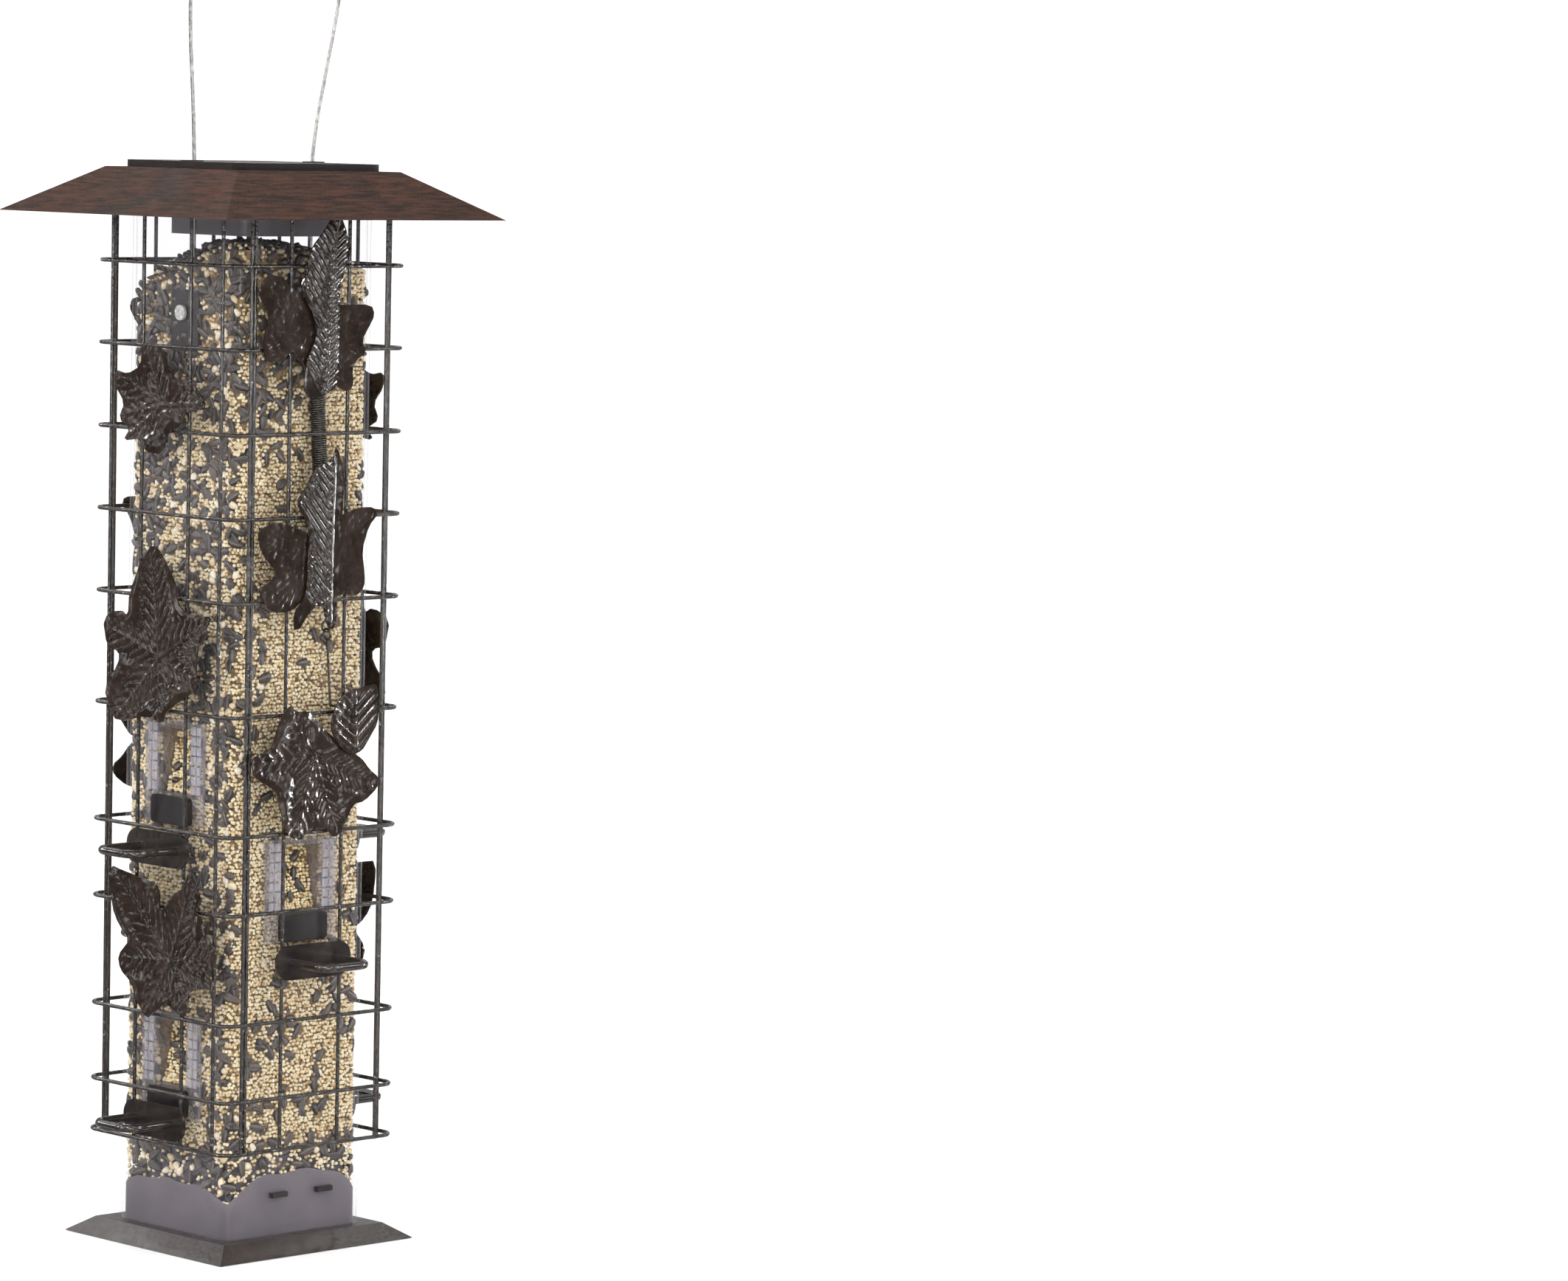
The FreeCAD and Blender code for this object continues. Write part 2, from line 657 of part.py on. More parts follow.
def build_cable():
    route = round_route(CABLE_ROUTE)
    radius = dim("cable_radius")
    start = Vector(CABLE_ROUTE[0][0], 0, CABLE_ROUTE[0][1])
    direction = route.Edges[0].tangentAt(route.Edges[0].FirstParameter)
    section = Part.Wire(Part.makeCircle(radius, start, direction))
    tube = route.makePipeShell([section], True, False)
    expected = math.pi * radius ** 2 * route.Length
    print("cable length %.1f mm, volume %.1f of %.1f mm3" % (route.Length, tube.Volume, expected))
    cable = doc.addObject("Part::Feature", "cable")
    cable.Shape = tube
    as_node(cable, "hanging_cable")


# ---------------------------------------------------------------- cage
def build_rings():
    """Closed ring wires: four straight sides and four quarter bends each."""
    parts = []
    straight = "cage_side - 2 * cage_radius"
    for turn in FACE_TURN.values():
        side = cylinder(
            "ring_side", "ring_wire", straight, "cage_radius - cage_side / 2", "-1 * cage_side / 2",
            "0", 90.0, (0, 1, 0))
        parts.append(copy_at("ring_side_turned", side, turn=turn))
        bend = doc.addObject("Part::Torus", "ring_bend")
        bind(bend, Radius1="cage_radius", Radius2="ring_wire")
        bend.Angle3 = 90.0
        place(bend, "cage_side / 2 - cage_radius", "cage_side / 2 - cage_radius")
        parts.append(copy_at("ring_bend_turned", bend, turn=turn))
    ring = fuse("ring", *parts)
    rings = [copy_at("ring_at_%d" % (index + 1), ring, "ring_%d" % (index + 1))
             for index in range(len(RING_HEIGHTS))]
    as_node(group("rings", *rings), "cage_rings")


def build_uprights():
    """Upright wires inside the rings; the seam of the mesh doubles one of them."""
    tall = "upright_top - upright_foot"
    for side, turn in FACE_TURN.items():
        places = ["-1 * upright_outer", "-1 * upright_inner", "upright_inner", "upright_outer"]
        if side in ("front", "back"):
            places.append("-1 * upright_outer + upright_seam")
        wires = [cylinder("upright", "upright_wire", tall, spot, "-1 * upright_plane", "upright_foot")
                 for spot in places]
        as_node(place(group("uprights_" + side, *wires), turn=turn), "cage_wires_" + side)


def build_perches():
    """A rounded plate with a U-shaped bar, drawn about height 0."""
    body, planes = new_body("perch_plate")
    face = sketch_on(body, planes["XZ_Plane"], "perch_plate_outline", "perch_plate_back")
    rounded_rectangle(face, "perch_plate_width", "perch_plate_tall", "perch_plate_radius")
    pad(body, face, "perch_plate_pad", "perch_plate_thick")

    spread = "perch_bar_width / 2 - perch_bar_radius"
    front = "perch_plate_back + perch_plate_thick"
    bend_line = "perch_reach - perch_bar_radius - perch_bar_bend"
    pieces = [body]
    for sign in (-1, 1):
        pieces.append(outward_pin(
            "perch_leg", "perch_bar_radius", "%s - (%s) + 0.2" % (bend_line, front),
            "%s - 0.2" % front, "%d * (%s)" % (sign, spread)))
        bend = doc.addObject("Part::Torus", "perch_bend")
        bind(bend, Radius1="perch_bar_bend", Radius2="perch_bar_radius")
        bend.Angle3 = 90.0
        turn = 180.0 if sign < 0 else 270.0
        place(bend, "%d * (%s - perch_bar_bend)" % (sign, spread), "-(%s)" % bend_line, turn=turn)
        pieces.append(bend)
    pieces.append(cylinder(
        "perch_nose", "perch_bar_radius", "2 * (%s - perch_bar_bend)" % spread,
        "perch_bar_bend - (%s)" % spread, "-(perch_reach - perch_bar_radius)", "0", 90.0, (0, 1, 0)))
    perch = fuse("perch", *pieces)
    for name, (side, _, cell) in PORTS.items():
        as_node(copy_at("perch_" + name, perch, cell, FACE_TURN[side]), "perch_" + name)


def fit_outline(points):
    """Stretch an outline to fill the square from -1 to 1."""
    low_x, high_x = min(x for x, _ in points), max(x for x, _ in points)
    low_y, high_y = min(y for _, y in points), max(y for _, y in points)
    return [(2 * (x - low_x) / (high_x - low_x) - 1, 2 * (y - low_y) / (high_y - low_y) - 1)
            for x, y in points]


def build_plates():
    """Flat plates with leaf and butterfly outlines, welded to the ring wires."""
    for name, (sides, layer, _, _, _, _) in PLATES.items():
        half_wide = dim(name + "_wide") / 2
        half_tall = dim(name + "_tall") / 2
        corners = [Vector(half_wide * x, half_tall * y, 0) for x, y in fit_outline(OUTLINES[name])]
        body, planes = new_body(name)
        offset = "leaf_plane + %d * leaf_layer" % layer
        outline = sketch_on(body, planes["XZ_Plane"], name + "_outline", offset)
        for index, corner in enumerate(corners):
            outline.addGeometry(Part.LineSegment(corners[index - 1], corner), False)
        for index in range(len(corners)):
            after = (index + 1) % len(corners)
            outline.addConstraint(Sketcher.Constraint("Coincident", index, 2, after, 1))
        pad(body, outline, name + "_sheet", "leaf_thick")
        place(body, name + "_across", "0", name + "_up")
        copies = {side: copy_at(name + "_on_" + side, body, turn=FACE_TURN[side]) for side in sides}
        if name == "oval_leaf":
            as_node(group("oval_leaf_pair", *copies.values()), "oval_leaves")
            continue
        for side, plate in copies.items():
            as_node(plate, name + "_" + side)


def build_springs():
    """Extension springs, their anchor pins on the tube and their links to the cage."""
    anchor = fuse(
        "anchor",
        outward_pin("anchor_inner_head", "4", "1.2", "tube_side / 2 - tube_wall - 1.25", up="rivet_height"),
        outward_pin(
            "anchor_shank", "rivet_radius", "tube_wall + 0.6", "tube_side / 2 - tube_wall - 0.3",
            up="rivet_height"),
        outward_pin("anchor_collar", "4", "1.2", "tube_side / 2 + 0.05", up="rivet_height"),
        outward_pin("anchor_peg", "1.4", "7.4", "tube_side / 2 + 1.2", up="rivet_height"),
        outward_pin("anchor_bead", "2.3", "0.9", "tube_side / 2 + 7.9", up="rivet_height"),
    )
    as_node(
        group("anchors", *[copy_at("anchor_" + side, anchor, turn=FACE_TURN[side])
                           for side in ("front", "back")]), "spring_anchors")

    # drawn hanging straight down from height 0, which is the anchor pin's axis
    coil_top = "-1 * spring_top_drop"
    coil_foot = "-1 * spring_top_drop - spring_length"
    lower_eye = "-1 * spring_top_drop - spring_length - spring_hook_gap - spring_eye"
    shell = cut(
        "coil",
        cylinder("coil_outside", "spring_radius", "spring_length", up=coil_foot),
        cylinder(
            "coil_inside", "spring_radius - spring_wall", "spring_length - 2 * spring_wall",
            up="%s + spring_wall" % coil_foot))
    pieces = [
        shell,
        cylinder("upper_hook", "spring_wire", "spring_top_drop - spring_eye + 0.2",
                 up="%s - 0.2" % coil_top),
        cylinder("lower_hook", "spring_wire", "spring_hook_gap + 0.2", up="%s - spring_hook_gap" % coil_foot),
    ]
    for height in ("0", lower_eye):
        eye = doc.addObject("Part::Torus", "spring_eye_ring")
        bind(eye, Radius1="spring_eye", Radius2="spring_wire")
        place(eye, up=height, turn=90.0, axis=(1, 0, 0))
        pieces.append(eye)
    spring = fuse("spring", *pieces)

    link_eye_height = "%s - spring_eye - link_eye + spring_wire + link_radius + 0.4" % lower_eye
    eye = doc.addObject("Part::Torus", "link_eye_ring")
    bind(eye, Radius1="link_eye", Radius2="link_radius")
    place(eye, up=link_eye_height, turn=-90.0, axis=(0, 1, 0))
    rod_foot = "link_foot - rivet_height"
    rod = cylinder(
        "link_rod", "link_radius", "%s - link_eye - (%s) + 0.2" % (link_eye_height, rod_foot), up=rod_foot)
    foot = outward_pin(
        "link_hook", "link_radius", "cage_side / 2 - spring_plane + ring_wire", "0", up=rod_foot)
    link = fuse("link", eye, rod, foot)

    links = []
    for side in ("front", "back"):
        for piece, store in ((spring, None), (link, links)):
            leaning = place(
                group("leaning", piece), along="-1 * spring_plane", up="rivet_height",
                turn=-dim("spring_lean"), axis=(0, 1, 0))
            turned = copy_at("turned", leaning, turn=FACE_TURN[side])
            if store is None:
                as_node(turned, "cage_spring_" + side)
            else:
                store.append(turned)
    as_node(group("links", *links), "spring_links")


# ---------------------------------------------------------------- roof
def build_roof():
    hole_length = "slot_length + 2 * grommet_wall + 2 * grommet_clearance"
    hole_width = "slot_width + 2 * grommet_wall + 2 * grommet_clearance"
    holes = stadium("sheet_hole", hole_length, hole_width, "40", "roof_eave + 5")

    slope = "(roof_side - roof_top_side) / roof_height"
    outside = frustum("roof_outside", "roof_side", "roof_top_side", "roof_height", "roof_eave")
    inside = frustum(
        "roof_inside", "roof_side - 2 * roof_wall_run",
        "roof_top_side - 2 * roof_wall_run + roof_sheet * %s" % slope,
        "roof_height - roof_sheet", "roof_eave")
    as_node(cut("roof", outside, inside, *holes), "roof_shell")

    top = "roof_eave + roof_height"
    cap_outside = rounded_prism(
        "cap_outside", "roof_cap_side", "roof_cap_radius", "roof_cap_height", "%s + 0.02" % top)
    cap_inside = rounded_prism(
        "cap_inside", "roof_cap_side - 2 * roof_sheet", "roof_cap_radius - roof_sheet",
        "roof_cap_height - roof_sheet", "%s + 0.02" % top)
    as_node(cut("cap", cap_outside, cap_inside, *holes), "roof_cap")

    spigot = rounded_prism(
        "collar_spigot", "collar_side", "cup_radius", "%s - roof_sheet - 0.05 - collar_foot" % top,
        "collar_foot", "collar_wall")
    flange = rounded_prism(
        "collar_flange", "collar_flange_side", "tube_radius", "collar_flange_thick", "collar_flange_foot")
    flange_hole = rounded_prism(
        "collar_hole", "collar_side - 2 * collar_wall", "cup_radius - collar_wall",
        "collar_flange_thick + 4", "collar_flange_foot - 2")
    passages = stadium("collar_slot", "slot_length", "slot_width", "10", "collar_flange_foot - 3")
    ring = cut("collar_ring", flange, flange_hole, *passages)
    as_node(fuse("collar", spigot, ring), "roof_collar")

    grommets = []
    neck_length = "slot_length + 2 * grommet_wall"
    neck_width = "slot_width + 2 * grommet_wall"
    lip_foot = "%s + roof_cap_height + 0.05" % top
    necks = stadium(
        "grommet_neck", neck_length, neck_width, "roof_cap_height + 1.6", "%s - 1.5" % top)
    lips = stadium(
        "grommet_top", "%s + grommet_lip" % neck_length, "%s + grommet_lip" % neck_width,
        "grommet_lip_thick", lip_foot)
    slots = stadium("grommet_slot", "slot_length", "slot_width", "30", "roof_eave + 10")
    for index, side in enumerate(("right", "left")):
        blank = fuse("grommet_blank_" + side, necks[index], lips[index])
        grommets.append(cut("grommet_" + side, blank, slots[index]))
    as_node(group("grommets", *grommets), "cable_grommets")


def write_parts():
    """Check every object, then write one file per sub-part."""
    doc.recompute()
    for item in doc.Objects:
        faults = [state for state in item.State if state in ("Invalid", "Error")]
        if faults:
            raise RuntimeError("%s (%s) is %s" % (item.Name, item.Label, ", ".join(faults)))
    for item in nodes:
        if item.Shape.isNull() or not item.Shape.isValid():
            raise RuntimeError("%s has no valid shape" % item.Label)
    os.makedirs("parts", exist_ok=True)
    for item in nodes:
        item.Shape.exportStep("parts/%s.step" % item.Label)
        print("%-28s %2d solids %10.1f mm3" % (item.Label, len(item.Shape.Solids), item.Shape.Volume))
    print("%d sub-parts" % len(nodes))


drilled_holes = build_base()
build_cup(drilled_holes)
build_tube(build_latches())
build_ports()
build_seed()
build_hangers()
build_cable()
build_rings()
build_uprights()
build_perches()
build_plates()
build_springs()
build_roof()
write_parts()
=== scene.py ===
import math

import bpy
import numpy as np
from mathutils import Matrix, Vector, noise
from mathutils.geometry import delaunay_2d_cdt


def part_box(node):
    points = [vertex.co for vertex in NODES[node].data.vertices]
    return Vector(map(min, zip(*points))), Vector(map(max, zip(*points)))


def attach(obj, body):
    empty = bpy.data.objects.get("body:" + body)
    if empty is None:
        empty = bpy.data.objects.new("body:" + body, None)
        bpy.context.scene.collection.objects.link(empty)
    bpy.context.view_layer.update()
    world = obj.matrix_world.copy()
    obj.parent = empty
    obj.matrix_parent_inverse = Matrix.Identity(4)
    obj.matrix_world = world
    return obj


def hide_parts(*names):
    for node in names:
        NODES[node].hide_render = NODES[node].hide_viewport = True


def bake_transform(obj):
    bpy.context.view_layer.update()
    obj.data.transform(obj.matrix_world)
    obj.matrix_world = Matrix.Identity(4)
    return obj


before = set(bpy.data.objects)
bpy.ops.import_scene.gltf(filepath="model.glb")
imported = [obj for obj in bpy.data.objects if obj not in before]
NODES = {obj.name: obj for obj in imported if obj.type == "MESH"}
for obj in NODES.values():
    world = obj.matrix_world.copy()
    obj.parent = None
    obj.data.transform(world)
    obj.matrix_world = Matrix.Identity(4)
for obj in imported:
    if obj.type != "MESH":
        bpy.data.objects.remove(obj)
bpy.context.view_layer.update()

MM = 0.001
scene = bpy.context.scene
scene.view_settings.view_transform = "Standard"
random_numbers = np.random.default_rng(20240611)
draw, chance = random_numbers.uniform, random_numbers.random

# degrees about Z from the front face to the face named
TURNS = {"front": 0.0, "right": 90.0, "back": 180.0, "left": 270.0}


# -------- camera and cable
def turned(first, second, angle):
    """Two directions at right angles, both turned from the first towards the second."""
    c, s = math.cos(angle), math.sin(angle)
    return first * c + second * s, second * c - first * s


def make_camera():
    """A long lens, level with the roof, turned a little to the object's right and down."""
    azimuth, aside, down, roll = (math.radians(v) for v in (-39.33, 5.12, 5.06, 1.23))
    distance, height = 3.418, 0.649
    ahead = Vector((-math.sin(azimuth), math.cos(azimuth), 0))
    right = Vector((math.cos(azimuth), math.sin(azimuth), 0))
    place = Vector((0, 0, height)) - ahead * distance
    ahead, right = turned(ahead, right, aside)
    ahead, up = turned(ahead, Vector((0, 0, 1)), -down)
    right, up = turned(right, up, roll)
    data = bpy.data.cameras.new("camera")
    data.sensor_width, data.lens = 36.0, 138.2
    data.clip_start, data.clip_end = 0.05, 100.0
    camera = bpy.data.objects.new("camera", data)
    camera.matrix_world = Matrix.Translation(place) @ Matrix((right, up, -ahead)).transposed().to_4x4()
    scene.collection.objects.link(camera)
    scene.camera = camera


make_camera()

# the hanging loop, from the left bracket round to the right one, all at y = 0
CABLE_ROUTE = [
    (-42.0, 534.0), (-41.8, 585.0), (-43.2, 640.0), (-47.2, 692.0), (-45.0, 737.0), (-22.0, 768.0),
    (18.0, 774.0), (52.0, 755.0), (64.5, 717.0), (54.3, 672.0), (43.3, 624.0), (42.1, 580.0), (42.0, 534.0),
]
CABLE_RADIUS = 1.1 * MM


def make_cable():
    curve = bpy.data.curves.new("steel_cable", "CURVE")
    curve.dimensions = "3D"
    spline = curve.splines.new("NURBS")
    spline.points.add(len(CABLE_ROUTE) - 1)
    for point, (x, z) in zip(spline.points, CABLE_ROUTE):
        point.co = (x * MM, 0.0, z * MM, 1.0)
        point.radius = CABLE_RADIUS
    spline.order_u = 3
    spline.use_endpoint_u = True
    spline.resolution_u = 12
    curve.bevel_depth = 1.0
    curve.bevel_resolution = 4
    cable = bpy.data.objects.new("steel_cable", curve)
    scene.collection.objects.link(cable)
    return cable


cable = make_cable()
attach(cable, "feeder")
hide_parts("hanging_cable")


# -------- materials
def srgb(*levels):
    """A colour given as 0 to 255 screen levels, in linear light."""
    shares = [v / 255 for v in levels]
    return tuple(v / 12.92 if v <= 0.04045 else ((v + 0.055) / 1.055) ** 2.4 for v in shares) + (1.0,)


def add_node(tree, kind, inputs=None, **settings):
    """A shader node with its settings, and its inputs linked to sockets or set to values."""
    made = tree.nodes.new("ShaderNode" + kind)
    for key, value in settings.items():
        setattr(made, key, value)
    for key, value in (inputs or {}).items():
        if isinstance(value, bpy.types.NodeSocket):
            tree.links.new(value, made.inputs[key])
        elif value is not None:
            made.inputs[key].default_value = value
    return made


class Finish:
    """A material and a few shorthand calls to add nodes to it."""

    def __init__(self, name):
        self.material = bpy.data.materials.new(name)
        self.material.use_nodes = True
        self.tree = self.material.node_tree
        self.tree.nodes.clear()
        self.where = self.node("TexCoord").outputs["Object"]

    def node(self, kind, inputs=None, **settings):
        return add_node(self.tree, kind, inputs, **settings)

    def stretched(self, scale):
        return self.node("Mapping", {"Vector": self.where, "Scale": scale}).outputs["Vector"]

    def noise(self, scale, detail=3.0, vector=None, rough=0.5):
        inputs = {"Vector": vector or self.where, "Scale": scale, "Detail": detail, "Roughness": rough}
        return self.node("TexNoise", inputs).outputs["Fac"]

    def cells(self, scale, output="Distance", feature="F1"):
        inputs = {"Vector": self.where, "Scale": scale}
        return self.node("TexVoronoi", inputs, feature=feature).outputs[output]

    def ramp(self, value, stops):
        made = self.node("ValToRGB", {"Fac": value})
        band = made.color_ramp
        band.elements[0].position, band.elements[0].color = stops[0]
        band.elements[1].position, band.elements[1].color = stops[-1]
        for place, colour in stops[1:-1]:
            band.elements.new(place).color = colour
        return made.outputs["Color"]

    def spread(self, value, low, high, start=0.3, end=0.7):
        inputs = {"Value": value, "From Min": start, "From Max": end, "To Min": low, "To Max": high}
        return self.node("MapRange", inputs).outputs["Result"]

    def maths(self, operation, a, b=None):
        return self.node("Math", {0: a, 1: b}, operation=operation).outputs["Value"]

    def weighed(self, *parts):
        """A sum of values, each times its own weight."""
        total = None
        for value, weight in parts:
            part = self.maths("MULTIPLY", value, weight)
            total = self.maths("ADD", total, part) if total else part
        return total

    def mixed(self, share, colour, other, blend="MIX"):
        inputs = {"Factor": share, "A": colour, "B": other}
        return self.node("Mix", inputs, data_type="RGBA", blend_type=blend).outputs["Result"]

    def bump(self, height, strength, depth, below=None):
        inputs = {"Height": height, "Strength": strength, "Distance": depth, "Normal": below}
        return self.node("Bump", inputs).outputs["Normal"]

    def surface(self, colour, rough, normal=None, metal=0.0, coat=0.0, coat_rough=0.03, specular=0.5):
        inputs = {"Base Color": colour, "Roughness": rough, "Normal": normal, "Metallic": metal,
                  "Coat Weight": coat, "Coat Roughness": coat_rough, "Specular IOR Level": specular}
        return self.node("BsdfPrincipled", inputs).outputs["BSDF"]

    def done(self, shader):
        self.node("OutputMaterial", {"Surface": shader})
        return self.material


def streaked_paint(name, light, dark, rough=(0.42, 0.6)):
    """Brushed-on paint: fine level streaks over a mottled coat."""
    f = Finish(name)
    streaks = f.noise(1.0, 4.0, f.stretched((55.0, 55.0, 900.0)), 0.65)
    grains = f.noise(900.0, 2.0)
    mottle = f.noise(28.0, 3.0)
    middle = tuple((a + b) / 2 for a, b in zip(light, dark))
    tone = f.weighed((streaks, 0.55), (grains, 0.25), (mottle, 0.2))
    colour = f.ramp(tone, [(0.41, dark), (0.5, middle), (0.58, light)])
    normal = f.bump(streaks, 0.25, 0.0004, f.bump(grains, 0.3, 0.0002))
    return f.done(f.surface(colour, f.spread(mottle, *rough), normal, specular=0.12))


def hammered_paint(name, light, dark, size=420.0, rough=(0.16, 0.36), depth=0.0006, coat=0.6):
    """Dark glossy paint with a dimpled skin; size is how many dimples there are to a metre."""
    f = Finish(name)
    dimples = f.cells(size, feature="SMOOTH_F1")
    mottle = f.noise(60.0, 4.0)
    fine = f.noise(1400.0, 2.0)
    # colour from the paint's random mottle, plus painted shade that darkens the middle of each dimple, where
    # the bump sinks
    colour = f.ramp(f.weighed((mottle, 0.7), (dimples, 0.4)), [(0.3, dark), (0.75, light)])
    normal = f.bump(dimples, 0.8, depth, f.bump(fine, 0.25, 0.0001))
    shader = f.surface(colour, f.spread(mottle, *rough), normal, coat=coat, coat_rough=0.12, specular=0.6)
    return f.done(shader)


def moulded_plastic(name, light, dark, rough=(0.3, 0.45), coat=0.0):
    """Smooth plastic with a faint grain and cloudy tone."""
    f = Finish(name)
    cloud = f.noise(45.0, 3.0)
    grain = f.noise(2600.0, 2.0)
    colour = f.ramp(cloud, [(0.3, dark), (0.7, light)])
    normal = f.bump(grain, 0.15, 0.00005, f.bump(f.noise(160.0, 2.0), 0.1, 0.0003))
    return f.done(f.surface(colour, f.spread(cloud, *rough), normal, coat=coat))


def bare_metal(name, light, dark, rough=(0.22, 0.4), scale=(500.0, 500.0, 500.0), metal=1.0):
    """Metal with fine marks, which a stretched scale turns into strands."""
    f = Finish(name)
    scratches = f.noise(1.0, 4.0, f.stretched(scale))
    colour = f.ramp(scratches, [(0.3, dark), (0.7, light)])
    return f.done(f.surface(colour, f.spread(scratches, *rough), f.bump(scratches, 0.2, 0.0001), metal=metal))


def clear_plastic(name, tint, body, low, high, rough, ripple=0.0, streak=0.0):
    """See-through sheet: most light goes straight through, more is caught towards the edges."""
    f = Finish(name)
    through = f.node("BsdfTransparent", {"Color": tint}).outputs["BSDF"]
    cloud = f.noise(35.0, 3.0)
    colour = f.ramp(cloud, [(0.3, tuple(v * 0.93 for v in body[:3]) + (1.0,)), (0.7, body)])
    if ripple:
        normal = f.bump(f.noise(1.0, 2.0, f.stretched((300.0, 300.0, 90.0))), ripple, 0.001)
    else:
        normal = f.bump(f.noise(70.0, 2.0), 0.15, 0.001)
    solid = f.surface(colour, f.spread(cloud, rough * 0.8, rough * 1.3), normal, specular=0.6)
    edge = f.node("LayerWeight", {"Blend": 0.35}).outputs["Facing"]
    caught = f.spread(f.maths("POWER", edge, 2.5), low, high, 0.0, 1.0)
    if streak:
        streaks = f.noise(1.0, 3.0, f.stretched((420.0, 420.0, 120.0)))
        caught = f.maths("ADD", caught, f.spread(streaks, 0.0, streak, 0.45, 0.62))
    return f.done(f.node("MixShader", {0: caught, 1: through, 2: solid}).outputs["Shader"])


def seed_mix(name, husk, stripe=False):
    """Seed colour from each grain's own tone, with stripes lengthwise where asked."""
    f = Finish(name)
    tone = f.node("Attribute", attribute_name="tone").outputs["Fac"]
    colour = f.ramp(tone, husk)
    fleck = f.noise(1500.0, 2.0)
    if stripe:
        around = f.node("Attribute", attribute_name="around").outputs["Fac"]
        bands = f.spread(f.maths("SINE", f.maths("MULTIPLY", around, 25.0)), 0.0, 1.0, 0.35, 0.8)
        colour = f.mixed(f.maths("MULTIPLY", bands, 0.35), colour, srgb(156, 147, 136))
    shade = f.ramp(fleck, [(0.3, srgb(215, 205, 195)), (0.6, srgb(255, 255, 255))])
    colour = f.mixed(1.0, colour, shade, "MULTIPLY")
    return f.done(f.surface(colour, f.spread(fleck, 0.35, 0.6), f.bump(fleck, 0.3, 0.0002), coat=0.1))


def packed_seed(name):
    """What shows between the outer grains: grains further in, coloured darker as painted shade, and grey
    behind the cup's rim.
    """
    grey_below, seed_above = 0.056, 0.064
    f = Finish(name)
    tones = f.cells(430.0, "Color")
    dips = f.cells(430.0, "Distance")
    # painted shade: the seed behind the outer grains is coloured darker than the grains themselves
    seed = f.ramp(tones, [(0.0, srgb(150, 124, 82)), (0.5, srgb(182, 154, 106)), (1.0, srgb(92, 72, 50))])
    height = f.node("SeparateXYZ", {"Vector": f.where}).outputs["Z"]
    near_cup = f.spread(height, 1.0, 0.0, grey_below, seed_above)
    colour = f.mixed(near_cup, seed, srgb(104, 98, 102))
    return f.done(f.surface(colour, f.spread(dips, 0.6, 0.85), f.bump(dips, 1.0, 0.0012)))


MILLET_TONES = [(0.0, srgb(255, 248, 220)), (0.45, srgb(252, 236, 192)), (0.78, srgb(238, 214, 164)),
                (0.92, srgb(196, 166, 120)), (1.0, srgb(104, 84, 62))]
HUSK_TONES = [(0.0, srgb(28, 24, 22)), (0.6, srgb(46, 40, 36)), (1.0, srgb(84, 75, 66))]
KERNEL_TONES = [(0.0, srgb(255, 250, 232)), (0.6, srgb(250, 236, 204)), (1.0, srgb(230, 208, 166))]

